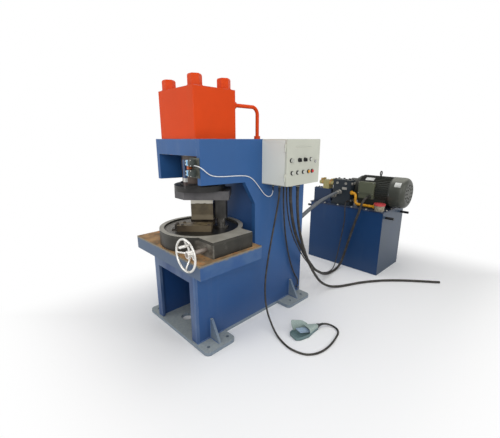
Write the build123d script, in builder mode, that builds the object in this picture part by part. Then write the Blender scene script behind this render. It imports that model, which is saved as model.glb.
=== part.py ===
"""Hydraulic angle notching machine: C-frame press, rotary die set, control box, foot pedal and power unit.

Millimetres. The origin is on the floor under the ram's axis.
+X is to the operator's right, +Y to the back, +Z up.
"""

import os
from math import cos, pi, radians, sin, tan

from build123d import *

os.makedirs("parts", exist_ok=True)

# Clearances: running fits on radius, loose fits on radius, thin gaps between faces, clearance holes
RUNNING = 0.08
LOOSE = 0.4
SHIM = 0.5
HOLE_ROOM = 1

# Welded frame
FRAME_WIDTH = 610
SIDE_PLATE = 40
FRAME_FRONT_Y = -303
FRAME_BACK_Y = 1022
BASE_THICK = 30
FRONT_PLATE = 25
OPENING_WIDTH = 470
OPENING_HEIGHT = 510
COLUMN_FRONT_Y = 337
COLUMN_PLATE = 25
COLUMN_SETBACK = 28
HEAD_FRONT_Y = -205
HEAD_REAR_Y = 222
HEAD_DEPTH_FRONT = 321
HEAD_DEPTH_REAR = 337
THROAT_CORNER_DOWN = 531
HEAD_TOP_PLATE = 80
FASCIA_HEIGHT = 118
FASCIA_THICK = 25

# Base lugs, anchor holes, gussets and the scrap hole
LUG_OUT = 150
LUG_CORNER = 40
FRONT_LUG_Y = (-317, -26)
REAR_LUG_Y = (662, 1008)
ANCHOR_OUT = 85
ANCHOR_Y = (-258, -67, 755, 936)
ANCHOR_HOLE = 28
GUSSET_THICK = 22
GUSSET_HEIGHT = 170
GUSSET_FOOT = 115
GUSSET_TOP = 20
SCRAP_HOLE = 110
SCRAP_HOLE_AT = (-88, -138)

# Earth stud on the right side plate, with the lead's terminal
EARTH_STUD = 8
EARTH_STUD_OUT = 40
EARTH_STUD_AT = (960, 80)
EARTH_BARREL = 9
EARTH_BARREL_UP = 30
EARTH_BARREL_OUT = 22

# Table
TABLE_TOP_Z = 765
TABLE_THICK = 110
TABLE_WIDTH = 960
TABLE_FRONT_Y = -365
TABLE_REAR_Y = 240
SLUG_HOLE = 150

# Turntable housing and worm drive
RING_WALL = 13
RING_MOUTH = 312
MOUTH_GAP = 2
RING_HEIGHT = 125
COVER_THICK = 22
HOUSING_FLOOR = 8
MODULE = 6
WHEEL_TEETH = 110
WORM_PITCH_RADIUS = 32
WORM_TURNS = 5
TOOTH_HALF = 3
TOOTH_ADD = 4
TOOTH_DEPTH = 9
TOOTH_TAPER = 0.35
TOOTH_ROOM = 3
THREAD_SUNK = 1
TEETH_FACE = 30
WORM_UP = 57
WORM_ROOM = 5
WORM_BOX_WALL = 39
WORM_BOX_Y = (-222, 172)
WORM_END_WALL = 92
SHAFT = 36
TURNTABLE_BOSS = 6

# Handwheel and its revolving grip
WHEEL_OUT = 176
WHEEL_RIM = 114
WHEEL_RIM_ROD = 11
WHEEL_RIM_SIDES = 16
WHEEL_HUB = 30
WHEEL_HUB_LENGTH = 44
WHEEL_DISH = 8
WHEEL_SPOKES = 4
SPOKE_ROD = 8
GRIP_LENGTH = 68
GRIP_RADIUS = 11
GRIP_PIN = 5
GRIP_PIN_HEAD = 8
GRIP_PIN_HEAD_LENGTH = 5
GRIP_TURN = 33

# Die set, turned about the ram's axis
DIE_ANGLE = 45
SHOE_LEFT = 208
SHOE_RIGHT = 245
SHOE_FRONT = 128
SHOE_BACK = 150
SHOE_THICK = 70
SHOE_CHAMFER = 98
PUNCH_LEFT = 80
PUNCH_RIGHT = 103
PUNCH_FRONT = 26
PUNCH_BACK = 60
PUNCH_LENGTH = 186
PUNCH_GAP = 20
FRONT_DIE_LEFT = 178
REAR_DIE_LEFT = 104
DIE_RIGHT = 100
FRONT_DIE_DEPTH = 120
REAR_DIE_DEPTH = 60
DIE_HEIGHT = 50
DIE_CLEARANCE = 0.6
POST = 70
SLEEVE = 112
SLEEVE_LENGTH = 172
POST_FOOT = 124
POST_FOOT_HEIGHT = 18
POSTS_AT = ((166, 8), (-20, 222))
POST_TOP_GAP = 5
STROKE = 60

# Cylinder and ram
BLOCK_WIDTH = 472
BLOCK_DEPTH = 384
BLOCK_HEIGHT = 355
BLOCK_EDGE = 4
BORE = 300
ROD = 280
ROD_BELOW_TOP = 338
ROD_HOLE_ROOM = 10
BORE_FLOOR = 50
BORE_ROOF = 60
PISTON = 100
TIE_ROD = 48
TIE_INSET = 62
TIE_HEAD_FLATS = 90
TIE_HEAD_HEIGHT = 80
TIE_NUT_HEIGHT = 40
FLANGE_RADIUS = 180
FLANGE_STEP = 158
FLANGE_LIP = 25
FLANGE_HEIGHT = 62
SWIVEL_WALL = 28
SWIVEL_LIP = 20
PIPE = 30
PIPE_BEND = 60
PIPE_X = 200
PIPE_DOWN = 103
PIPE_OUT = 273
PIPE_COLLAR = 52
PIPE_COLLAR_LENGTH = 24

# Limit switches on the head, and the stroke dog that works them
SWITCH_IN = 3
SWITCH_LENGTH = 62
SWITCH_DEPTH = 40
SWITCH_HEIGHT = 50
SWITCH_DROPS = (163, 235)
SWITCH_GLAND = 6
SWITCH_GLAND_OUT = 8
SWITCH_GLAND_DROP = 17
BRACKET_IN = 5
BRACKET_WIDTH = 115
BRACKET_HEIGHT = 142
BRACKET_DROP = 128
BRACKET_THICK = 8
PLUNGER = 10
PLUNGER_LENGTH = 24
PLUNGER_OUT = 18
PLUNGER_TRAVEL = 4
DOG_SUNK = 18
DOG_WIDTH = 25
DOG_DEPTH = 20
DOG_LOBE = 20
DOG_ABOVE_SWITCH = 18
DOG_ARM = 15

# Control box on the right side plate
BOX_DEPTH = 242
BOX_FRONT_Y = 420
BOX_WIDTH = 452
BOX_HEIGHT = 368
BOX_WALL = 4
BOX_CORNER = 12
DOOR_THICK = 18
DOOR_SKIN = 3
HINGE_BARREL = 7
HINGE_PIN = 3.5
HINGE_HALF = 30
HINGE_STRAP = 4
HINGE_STRAP_LENGTH = 50
HINGE_OUT = 8
HINGES_UP = (70, 300)
TOP_ROW_UP = 204
SELECTORS_AT = (57, 160, 236)
LAMP_AT = 321
LOCK_IN = 66
LOCK_UP = 184
BOTTOM_ROW_UP = 104
BUTTONS_AT = (70, 143, 220, 292, 345)
BEZEL = 17
BEZEL_HEIGHT = 9
BUTTON = 11.5
BUTTON_OUT = 16
SPINDLE = 7
COLLAR = 14
COLLAR_THICK = 4
KNOB = 15
KNOB_HEIGHT = 6
KNOB_GRIP = 9
KNOB_GRIP_OUT = 12
LAMP = 12
LAMP_OUT = 14
LOCK_HEAD = 12
LOCK_HEAD_OUT = 6
LOCK_CAM_LENGTH = 45
LOCK_CAM_WIDTH = 14
LOCK_SPINDLE_LENGTH = 20
GLAND_LENGTH = 30
GLAND_WALL = 6
PEDAL_GLAND = (395, 545)
EARTH_GLAND = (330, 680)
MOTOR_GLAND = (440, 640)
SUPPLY_GLAND = (480, 690)
SWITCH_LEAD_GLAND = (330, 535)
VALVE_LEAD_GLAND = (385, 655)

# Foot pedal
PEDAL_AT = (791, 460)
PEDAL_YAW = 75
PEDAL_LENGTH = 266
PEDAL_WIDTH = 124
PEDAL_FRONT_WIDTH = 88
PEDAL_SHOULDERS = (33, 122)
PEDAL_WAIST_IN = 200
PEDAL_WAIST = 68
PEDAL_TAIL = 32
PEDAL_RIM = 28
PEDAL_WALL = 7
PEDAL_FLOOR = 10
PEDAL_BACK_IN = 143
PEDAL_BACK_HEIGHT = 62
PEDAL_TAIL_HEIGHT = 44
PEDAL_ROOM = 190
PEDAL_ROOM_HEIGHT = 48
PEDAL_GUARD = ((23, 108), (25, 128), (143, 90))
PEDAL_GUARD_FOOT = (57, 184)
PEDAL_GUARD_REAR = 60
TREADLE_WIDTH = 68
TREADLE_THICK = 8
TREADLE_FRONT_UP = 52
TREADLE_PIVOT_UP = 26
TREADLE_PIVOT_IN = 158
TREADLE_REACH = 103
TRUNNION = 5
TRUNNION_SPAN = 92
TREADLE_BOSS = 8
PEDAL_LEAD_UP = 28
PEDAL_GLAND_LENGTH = 22
PEDAL_LEAD_STRAIGHT = 40

# Power unit: tank and lid
TANK_X = (-257, 726)
TANK_Y = (2000, 2624)
TANK_HEIGHT = 773
TANK_WALL = 6
LID_THICK = 12
LID_LIP = 10
LIFT_BAR = 15
LIFT_BAR_OUT = 95
LIFT_BAR_DROP = 65
LIFT_BAR_INSET = 80

# Power unit: motor
MOTOR_BACK = 290
MOTOR_X = (300, 715)
MOTOR_SHAFT_UP = 200
MOTOR_RADIUS = 165
FIN_HEIGHT = 12
FIN_THICK = 5
FINS = 44
END_SHIELD = 30
REAR_FLANGE = 14
ROTOR_RADIUS = 98
ROTOR_GAP = 2
FOOT_SPREAD = 140
FOOT_WIDTH = 60
FOOT_THICK = 20
FOOT_WEB = 25
FOOT_INSET = 40
FAN_COVER_LENGTH = 165
FAN_COVER_RADIUS = 180
FAN_COVER_WALL = 4
FAN_COVER_CORNER = 60
FAN_RADIUS = 140
FAN_WIDTH = 45
FAN_BLADE = 6
FAN_BLADES = 8
FAN_HUB = 45
FAN_GAP = 60
VENT = 12
VENT_RINGS = ((60, 8), (100, 14))
MOTOR_SHAFT = 48
TERMINAL_IN = 62
TERMINAL_LENGTH = 183
TERMINAL_DEPTH = 55
TERMINAL_SEAT = 150
TERMINAL_BELOW = 85
TERMINAL_ABOVE = 112
TERMINAL_GLAND_OUT = 25
TERMINAL_GLAND_IN = 40
TERMINAL_GLAND_UP = 26
EYE_IN = 235
EYE_RING = 24
EYE_ROD = 7
EYE_STEM = 10

# Power unit: pump, manifold, valves, filter and return pipe
BELL_RADIUS = 125
BELL_LENGTH = 130
BELL_WALL = 14
PUMP_RADIUS = 82
PUMP_LENGTH = 140
PUMP_SHAFT = 30
PUMP_SHAFT_SUNK = 40
COUPLING = 58
COUPLING_LENGTH = 60
MANIFOLD_X = (40, 280)
MANIFOLD_IN = 40
MANIFOLD_DEPTH = 115
MANIFOLD_HEIGHT = 320
MANIFOLD_FOOT = 30
SUBPLATE_X = (-240, 10)
SUBPLATE_HEIGHT = 185
PRESSURE_PORT = (140, 165)
RETURN_PORT = (70, 118)
VALVE_LEAD_PORT = (262, 63)
VALVE_GLAND_OUT = 15
VALVE_X = -70
VALVE_PITCH = 57
VALVE_WIDTH = 52
VALVE_LENGTH = 84
VALVE_HEIGHT = 110
COIL_RADIUS = 25
COIL_LENGTH = 60
COIL_UP = 78
FILTER_IN = (76, 60)
FILTER_RADIUS = 56
FILTER_HEIGHT = 62
FILTER_CAP = 64
FILTER_CAP_HEIGHT = 22
RETURN_PIPE = 32
RETURN_BEND = 40
RETURN_UP = 168
RETURN_LOW = 37
RETURN_OUT = 65

# Cords and hose fittings
PEDAL_LEAD = 16
EARTH_LEAD = 14
MOTOR_LEAD = 28
SUPPLY_LEAD = 26
SWITCH_LEAD = 7
VALVE_LEAD = 12
HOSE = 34
HOSE_COLLAR = 23
COLUMN_COLLAR_LENGTH = 40
MANIFOLD_COLLAR_LENGTH = 45
PRESSURE_FITTING = (150, 738)
RETURN_FITTING = (85, 690)
BEND_SHARE = 0.45

# Levels of the press, from the table up to the cylinder
SIDE_X = FRAME_WIDTH / 2
INNER_X = SIDE_X - SIDE_PLATE
TABLE_BOTTOM_Z = TABLE_TOP_Z - TABLE_THICK
COVER_TOP_Z = TABLE_TOP_Z + RING_HEIGHT
COVER_BOTTOM_Z = COVER_TOP_Z - COVER_THICK
TURNTABLE_FLOOR_Z = TABLE_TOP_Z + HOUSING_FLOOR
TURNTABLE_FLANGE_Z = COVER_BOTTOM_Z - SHIM
TURNTABLE_TOP_Z = COVER_BOTTOM_Z + TURNTABLE_BOSS
PUNCH_BOTTOM_Z = TURNTABLE_TOP_Z + DIE_HEIGHT + PUNCH_GAP
SHOE_BOTTOM_Z = PUNCH_BOTTOM_Z + PUNCH_LENGTH
SHOE_TOP_Z = SHOE_BOTTOM_Z + SHOE_THICK
FLANGE_TOP_Z = SHOE_TOP_Z + FLANGE_HEIGHT
FRAME_TOP_Z = FLANGE_TOP_Z + ROD_BELOW_TOP
PLATE_BOTTOM_Z = FRAME_TOP_Z - HEAD_TOP_PLATE
BLOCK_TOP_Z = FRAME_TOP_Z + BLOCK_HEIGHT
PISTON_TOP_Z = BLOCK_TOP_Z - BORE_ROOF - SHIM

# Places round the control box and the power unit
BOX_BOTTOM_Z = FRAME_TOP_Z - BOX_HEIGHT
BOX_RIM_X = SIDE_X + BOX_DEPTH
DOOR_X = BOX_RIM_X + DOOR_THICK
LOCK_AT = BOX_WIDTH - LOCK_IN
GLAND_END_Z = BOX_BOTTOM_Z - GLAND_LENGTH
LID_TOP_Z = TANK_HEIGHT + LID_THICK
MOTOR_Y = TANK_Y[0] + MOTOR_BACK
MOTOR_Z = LID_TOP_Z + MOTOR_SHAFT_UP
MANIFOLD_FRONT_Y = TANK_Y[0] + MANIFOLD_IN
MANIFOLD_BACK_Y = MANIFOLD_FRONT_Y + MANIFOLD_DEPTH

# Slanted work planes and directions
DIE_WAY = (cos(radians(DIE_ANGLE)), sin(radians(DIE_ANGLE)), 0)
DIE = Plane(origin=(0, 0, 0), x_dir=DIE_WAY, z_dir=(0, 0, 1))
PEDAL_WAY = (cos(radians(PEDAL_YAW)), sin(radians(PEDAL_YAW)), 0)
PEDAL = Plane(origin=(*PEDAL_AT, 0), x_dir=PEDAL_WAY, z_dir=(0, 0, 1))
PEDAL_SIDE = Plane(origin=PEDAL.origin, x_dir=PEDAL_WAY, z_dir=-PEDAL.y_dir)
ALONG_X = (1, 0, 0)
ALONG_Y = (0, 1, 0)
ALONG_Z = (0, 0, 1)
DOWN = (0, 0, -1)
FORWARD = (0, -1, 0)
TO_LEFT = (-1, 0, 0)


def save(piece, name):
    """Label a finished piece and write its STEP file."""
    piece.part.label = name
    export_step(piece.part, f"parts/{name}.step")


def slab(low, high, mode=Mode.ADD):
    """Box between two opposite corners, in the part being built."""
    middle = tuple((a + b) / 2 for a, b in zip(low, high))
    with Locations(middle):
        Box(*[b - a for a, b in zip(low, high)], mode=mode)


def rod(start, direction, radius, length, mode=Mode.ADD):
    """Round bar from its start point along a direction, in the part being built."""
    with BuildSketch(Plane(origin=start, z_dir=direction)) as end_face:
        Circle(radius)
    extrude(end_face.sketch, amount=length, mode=mode)


# Base plate with four lugs, anchor holes and gussets
LUG_X = SIDE_X + LUG_OUT
ANCHOR_X = SIDE_X + ANCHOR_OUT
with BuildPart() as base_plate:
    with BuildSketch() as base_outline:
        with Locations((0, (FRAME_FRONT_Y + FRAME_BACK_Y) / 2)):
            Rectangle(FRAME_WIDTH, FRAME_BACK_Y - FRAME_FRONT_Y)
        for front, back in (FRONT_LUG_Y, REAR_LUG_Y):
            with Locations((0, (front + back) / 2)):
                Rectangle(2 * LUG_X, back - front)
        fillet([v for v in base_outline.vertices() if abs(v.X) > SIDE_X + LUG_OUT / 2], LUG_CORNER)
        with Locations([(side * ANCHOR_X, y) for side in (-1, 1) for y in ANCHOR_Y]):
            Circle(ANCHOR_HOLE / 2, mode=Mode.SUBTRACT)
        with Locations(SCRAP_HOLE_AT):
            Circle(SCRAP_HOLE / 2, mode=Mode.SUBTRACT)
    extrude(amount=BASE_THICK)
    for first, second in ((0, 1), (2, 3)):
        gusset_y = (ANCHOR_Y[first] + ANCHOR_Y[second]) / 2
        for side in (-1, 1):
            with BuildSketch(Plane.XZ.offset(-gusset_y)):
                with BuildLine():
                    Polyline(
                        (side * SIDE_X, BASE_THICK),
                        (side * (SIDE_X + GUSSET_FOOT), BASE_THICK),
                        (side * (SIDE_X + GUSSET_TOP), BASE_THICK + GUSSET_HEIGHT),
                        (side * SIDE_X, BASE_THICK + GUSSET_HEIGHT),
                        close=True,
                    )
                make_face()
            extrude(amount=GUSSET_THICK / 2, both=True)
save(base_plate, "base_plate")

# Side plates: thick C-shaped profiles that carry the head over the throat
SIDE_OUTLINE = (
    (FRAME_FRONT_Y + FRONT_PLATE, BASE_THICK),
    (FRAME_FRONT_Y + FRONT_PLATE, TABLE_BOTTOM_Z),
    (COLUMN_FRONT_Y, TABLE_BOTTOM_Z),
    (COLUMN_FRONT_Y, FRAME_TOP_Z - THROAT_CORNER_DOWN),
    (HEAD_REAR_Y, FRAME_TOP_Z - HEAD_DEPTH_REAR),
    (HEAD_FRONT_Y, FRAME_TOP_Z - HEAD_DEPTH_FRONT),
    (HEAD_FRONT_Y, FRAME_TOP_Z),
    (FRAME_BACK_Y, FRAME_TOP_Z),
    (FRAME_BACK_Y, BASE_THICK),
)
with BuildPart() as left_side_plate:
    with BuildSketch(Plane.YZ.offset(-SIDE_X)):
        with BuildLine():
            Polyline(*SIDE_OUTLINE, close=True)
        make_face()
    extrude(amount=SIDE_PLATE)
save(left_side_plate, "left_side_plate")

# The right plate also has the earth stud and the terminal that the lead ends in
EARTH_TERMINAL = (SIDE_X + EARTH_BARREL_OUT, EARTH_STUD_AT[0], EARTH_STUD_AT[1] + EARTH_BARREL_UP)
with BuildPart() as right_side_plate:
    with BuildSketch(Plane.YZ.offset(INNER_X)):
        with BuildLine():
            Polyline(*SIDE_OUTLINE, close=True)
        make_face()
    extrude(amount=SIDE_PLATE)
    rod((SIDE_X, *EARTH_STUD_AT), ALONG_X, EARTH_STUD, EARTH_STUD_OUT)
    rod(EARTH_TERMINAL, DOWN, EARTH_BARREL, EARTH_BARREL_UP)
save(right_side_plate, "right_side_plate")

# Front frame: two legs and the apron round the scrap opening
with BuildPart() as front_frame:
    slab((-SIDE_X, FRAME_FRONT_Y, BASE_THICK), (SIDE_X, FRAME_FRONT_Y + FRONT_PLATE, TABLE_BOTTOM_Z))
    slab(
        (-OPENING_WIDTH / 2, FRAME_FRONT_Y, BASE_THICK),
        (OPENING_WIDTH / 2, FRAME_FRONT_Y + FRONT_PLATE, BASE_THICK + OPENING_HEIGHT),
        mode=Mode.SUBTRACT,
    )
save(front_frame, "front_frame")

# Column plates between the side plates; the back one carries the two hose fittings
COLUMN_FACE_Y = COLUMN_FRONT_Y + COLUMN_SETBACK
with BuildPart() as column_front_plate:
    slab((-INNER_X, COLUMN_FACE_Y, BASE_THICK), (INNER_X, COLUMN_FACE_Y + COLUMN_PLATE, PLATE_BOTTOM_Z))
save(column_front_plate, "column_front_plate")

with BuildPart() as column_back_plate:
    slab((-INNER_X, FRAME_BACK_Y - COLUMN_PLATE, BASE_THICK), (INNER_X, FRAME_BACK_Y, PLATE_BOTTOM_Z))
    for fitting_x, fitting_z in (PRESSURE_FITTING, RETURN_FITTING):
        rod((fitting_x, FRAME_BACK_Y, fitting_z), ALONG_Y, HOSE_COLLAR, COLUMN_COLLAR_LENGTH)
save(column_back_plate, "column_back_plate")

# Head top plate, bored for the rod and the tie bolts, with the fascia welded to its front edge
TIE_PLACES = [
    (x * (BLOCK_WIDTH / 2 - TIE_INSET), y * (BLOCK_DEPTH / 2 - TIE_INSET)) for x in (-1, 1) for y in (-1, 1)
]
with BuildPart() as head_top_plate:
    slab((-INNER_X, HEAD_FRONT_Y + FASCIA_THICK, PLATE_BOTTOM_Z), (INNER_X, FRAME_BACK_Y, FRAME_TOP_Z))
    rod((0, 0, FRAME_TOP_Z), DOWN, ROD / 2 + ROD_HOLE_ROOM, HEAD_TOP_PLATE, mode=Mode.SUBTRACT)
    for x, y in TIE_PLACES:
        rod((x, y, FRAME_TOP_Z), DOWN, TIE_ROD / 2 + HOLE_ROOM, HEAD_TOP_PLATE, mode=Mode.SUBTRACT)
    slab(
        (-INNER_X, HEAD_FRONT_Y, FRAME_TOP_Z - FASCIA_HEIGHT),
        (INNER_X, HEAD_FRONT_Y + FASCIA_THICK, FRAME_TOP_Z),
    )
save(head_top_plate, "head_top_plate")

# Table plate: wide in front of the column, with a tongue between the side plates
with BuildPart() as table_plate:
    with BuildSketch(Plane.XY.offset(TABLE_BOTTOM_Z)):
        with Locations((0, (TABLE_FRONT_Y + TABLE_REAR_Y) / 2)):
            Rectangle(TABLE_WIDTH, TABLE_REAR_Y - TABLE_FRONT_Y)
        with Locations((0, COLUMN_FACE_Y / 2)):
            Rectangle(2 * INNER_X, COLUMN_FACE_Y)
        Circle(SLUG_HOLE / 2, mode=Mode.SUBTRACT)
    extrude(amount=TABLE_THICK)
save(table_plate, "table_plate")

# Turntable housing: a round pan with the worm's box on its right
WHEEL_PITCH_RADIUS = MODULE * WHEEL_TEETH / 2
WHEEL_TIP = WHEEL_PITCH_RADIUS + TOOTH_ADD
WHEEL_ROOT = WHEEL_TIP - TOOTH_DEPTH
WORM_TIP = WORM_PITCH_RADIUS + TOOTH_ADD
WORM_ROOT = WORM_TIP - TOOTH_DEPTH
WORM_X = WHEEL_PITCH_RADIUS + WORM_PITCH_RADIUS
WORM_Z = TABLE_TOP_Z + WORM_UP
CAVITY_RADIUS = WHEEL_TIP + TOOTH_ROOM
CHANNEL = WORM_TIP + WORM_ROOM
WORM_BOX_X = WORM_X + CHANNEL + WORM_BOX_WALL


def housing_outline():
    """Plan of the ring and the worm box, in the sketch being built."""
    Circle(CAVITY_RADIUS + RING_WALL)
    with Locations((WORM_BOX_X / 2, sum(WORM_BOX_Y) / 2)):
        Rectangle(WORM_BOX_X, WORM_BOX_Y[1] - WORM_BOX_Y[0])


with BuildPart() as turntable_housing:
    with BuildSketch(Plane.XY.offset(TABLE_TOP_Z)):
        housing_outline()
        Circle(SLUG_HOLE / 2, mode=Mode.SUBTRACT)
    extrude(amount=RING_HEIGHT - COVER_THICK)
    rod((0, 0, TURNTABLE_FLOOR_Z), ALONG_Z, CAVITY_RADIUS, RING_HEIGHT, mode=Mode.SUBTRACT)
    slab(
        (WORM_X - CHANNEL, WORM_BOX_Y[0] + WORM_END_WALL, WORM_Z - CHANNEL),
        (WORM_X + CHANNEL, WORM_BOX_Y[1] - WORM_END_WALL, COVER_BOTTOM_Z),
        mode=Mode.SUBTRACT,
    )
    rod(
        (WORM_X, WORM_BOX_Y[0], WORM_Z),
        ALONG_Y,
        SHAFT / 2 + RUNNING,
        WORM_BOX_Y[1] - WORM_BOX_Y[0],
        mode=Mode.SUBTRACT,
    )
save(turntable_housing, "turntable_housing")

with BuildPart() as housing_cover:
    with BuildSketch(Plane.XY.offset(COVER_BOTTOM_Z)):
        housing_outline()
        Circle(RING_MOUTH, mode=Mode.SUBTRACT)
    extrude(amount=COVER_THICK)
save(housing_cover, "housing_cover")


# Turntable with worm-wheel teeth round its rim
def tooth_corner(tooth, side, radius):
    """Corner of a straight-flanked tooth; the teeth stand half a pitch off the worm's centre."""
    half = TOOTH_HALF - (radius - WHEEL_PITCH_RADIUS) * TOOTH_TAPER
    angle = (tooth + 0.5) * 2 * pi / WHEEL_TEETH + side * half / radius
    return (radius * cos(angle), radius * sin(angle))


TOOTH_WALK = ((-1, WHEEL_ROOT), (-1, WHEEL_TIP), (1, WHEEL_TIP), (1, WHEEL_ROOT))
with BuildPart() as turntable:
    with BuildSketch(Plane.XY.offset(WORM_Z - TEETH_FACE / 2)):
        with BuildLine():
            Polyline(
                *[tooth_corner(tooth, *corner) for tooth in range(WHEEL_TEETH) for corner in TOOTH_WALK],
                close=True,
            )
        make_face()
    extrude(amount=TEETH_FACE)
    rod((0, 0, TURNTABLE_FLOOR_Z), ALONG_Z, WHEEL_ROOT, TURNTABLE_FLANGE_Z - TURNTABLE_FLOOR_Z)
    rod((0, 0, TURNTABLE_FLOOR_Z), ALONG_Z, RING_MOUTH - MOUTH_GAP, TURNTABLE_TOP_Z - TURNTABLE_FLOOR_Z)
    rod((0, 0, TURNTABLE_FLOOR_Z), ALONG_Z, SLUG_HOLE / 2, RING_HEIGHT, mode=Mode.SUBTRACT)
save(turntable, "turntable")

# Two die blocks that the punch passes between
with BuildPart() as die_blocks:
    with BuildSketch(DIE.offset(TURNTABLE_TOP_Z)):
        with Locations(((DIE_RIGHT - FRONT_DIE_LEFT) / 2, -PUNCH_FRONT - DIE_CLEARANCE - FRONT_DIE_DEPTH / 2)):
            Rectangle(FRONT_DIE_LEFT + DIE_RIGHT, FRONT_DIE_DEPTH)
        with Locations(((DIE_RIGHT - REAR_DIE_LEFT) / 2, PUNCH_BACK + DIE_CLEARANCE + REAR_DIE_DEPTH / 2)):
            Rectangle(REAR_DIE_LEFT + DIE_RIGHT, REAR_DIE_DEPTH)
    extrude(amount=DIE_HEIGHT)
save(die_blocks, "die_blocks")

# Guide posts stand on the turntable and run in the upper die's sleeves
with BuildPart() as guide_posts:
    with BuildSketch(DIE.offset(TURNTABLE_TOP_Z)):
        with Locations(POSTS_AT):
            Circle(POST / 2)
    extrude(amount=SHOE_BOTTOM_Z - POST_TOP_GAP - TURNTABLE_TOP_Z)
    with BuildSketch(DIE.offset(TURNTABLE_TOP_Z)):
        with Locations(POSTS_AT):
            Circle(POST_FOOT / 2)
    extrude(amount=POST_FOOT_HEIGHT)
save(guide_posts, "guide_posts")

with BuildPart() as guide_sleeves:
    with BuildSketch(DIE.offset(SHOE_BOTTOM_Z - SLEEVE_LENGTH)):
        with Locations(POSTS_AT):
            Circle(SLEEVE / 2)
            Circle(POST / 2 + RUNNING, mode=Mode.SUBTRACT)
    extrude(amount=SLEEVE_LENGTH)
save(guide_sleeves, "guide_sleeves")

# Upper die shoe, pocketed for the post tops at the bottom of the stroke
REAR_POST_X, REAR_POST_Y = POSTS_AT[1]
with BuildPart() as upper_die_shoe:
    with BuildSketch(DIE.offset(SHOE_BOTTOM_Z)):
        with BuildLine():
            Polyline(
                (SHOE_CHAMFER - SHOE_LEFT, -SHOE_FRONT),
                (SHOE_RIGHT, -SHOE_FRONT),
                (SHOE_RIGHT, SHOE_BACK),
                (REAR_POST_X + SLEEVE / 2 + SHOE_CHAMFER, SHOE_BACK),
                (REAR_POST_X + SLEEVE / 2, REAR_POST_Y + SLEEVE / 2),
                (REAR_POST_X - SLEEVE / 2, REAR_POST_Y + SLEEVE / 2),
                (-SHOE_LEFT, SHOE_BACK),
                (-SHOE_LEFT, SHOE_CHAMFER - SHOE_FRONT),
                close=True,
            )
        make_face()
    extrude(amount=SHOE_THICK)
    with BuildSketch(DIE.offset(SHOE_BOTTOM_Z)):
        with Locations(POSTS_AT):
            Circle(POST / 2 + HOLE_ROOM)
    extrude(amount=STROKE, mode=Mode.SUBTRACT)
save(upper_die_shoe, "upper_die_shoe")

with BuildPart() as punch:
    with BuildSketch(DIE.offset(PUNCH_BOTTOM_Z)):
        with Locations(((PUNCH_RIGHT - PUNCH_LEFT) / 2, (PUNCH_BACK - PUNCH_FRONT) / 2)):
            Rectangle(PUNCH_LEFT + PUNCH_RIGHT, PUNCH_FRONT + PUNCH_BACK)
    extrude(amount=PUNCH_LENGTH)
save(punch, "punch")

# Limit-switch places on the front edge of the right side plate
SWITCH_X = INNER_X - SWITCH_IN - SWITCH_LENGTH
SWITCH_BACK_Y = HEAD_FRONT_Y - BRACKET_THICK
SWITCH_Y = SWITCH_BACK_Y - SWITCH_DEPTH / 2
SWITCH_LEVELS = [FRAME_TOP_Z - drop for drop in SWITCH_DROPS]
PLUNGER_X = SWITCH_X - PLUNGER_OUT
SWITCH_GLAND_Z = SWITCH_LEVELS[0] - SWITCH_GLAND_DROP
SWITCH_GLAND_END_X = SWITCH_X + SWITCH_LENGTH + SWITCH_GLAND_OUT

# Ram flange under the rod, with the stroke dog that passes the limit switches
DOG_X = FLANGE_STEP - DOG_SUNK
DOG_FRONT_Y = SWITCH_Y - DOG_DEPTH / 2
DOG_ARM_Z = SHOE_TOP_Z + FLANGE_LIP + SWIVEL_LIP + 2 * SHIM
with BuildPart() as ram_flange:
    rod((0, 0, SHOE_TOP_Z), ALONG_Z, FLANGE_RADIUS, FLANGE_LIP)
    rod((0, 0, SHOE_TOP_Z), ALONG_Z, FLANGE_STEP, FLANGE_HEIGHT)
    slab((DOG_X, DOG_FRONT_Y, DOG_ARM_Z), (DOG_X + DOG_WIDTH, 0, DOG_ARM_Z + DOG_ARM))
    slab(
        (DOG_X, DOG_FRONT_Y, DOG_ARM_Z),
        (DOG_X + DOG_WIDTH, DOG_FRONT_Y + DOG_DEPTH, SWITCH_LEVELS[0] + DOG_ABOVE_SWITCH),
    )
    slab(
        (DOG_X, DOG_FRONT_Y, SWITCH_LEVELS[0] - DOG_LOBE / 2),
        (PLUNGER_X - SHIM, DOG_FRONT_Y + DOG_DEPTH, SWITCH_LEVELS[0] + DOG_LOBE / 2),
    )
save(ram_flange, "ram_flange")

# Swivel ring on the shoe: its lip hangs the shoe on the flange and lets it turn
with BuildPart() as swivel_ring:
    rod((0, 0, SHOE_TOP_Z), ALONG_Z, FLANGE_RADIUS + SWIVEL_WALL, FLANGE_LIP + SHIM + SWIVEL_LIP)
    rod((0, 0, SHOE_TOP_Z), ALONG_Z, FLANGE_RADIUS + LOOSE, FLANGE_LIP + SHIM, mode=Mode.SUBTRACT)
    rod((0, 0, SHOE_TOP_Z), ALONG_Z, FLANGE_STEP + LOOSE, FLANGE_HEIGHT, mode=Mode.SUBTRACT)
save(swivel_ring, "swivel_ring")

# Piston and rod in one forging
with BuildPart() as piston_rod:
    rod((0, 0, FLANGE_TOP_Z), ALONG_Z, ROD / 2, PISTON_TOP_Z - FLANGE_TOP_Z)
    rod((0, 0, PISTON_TOP_Z - PISTON), ALONG_Z, BORE / 2 - RUNNING, PISTON)
save(piston_rod, "piston_rod")

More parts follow.
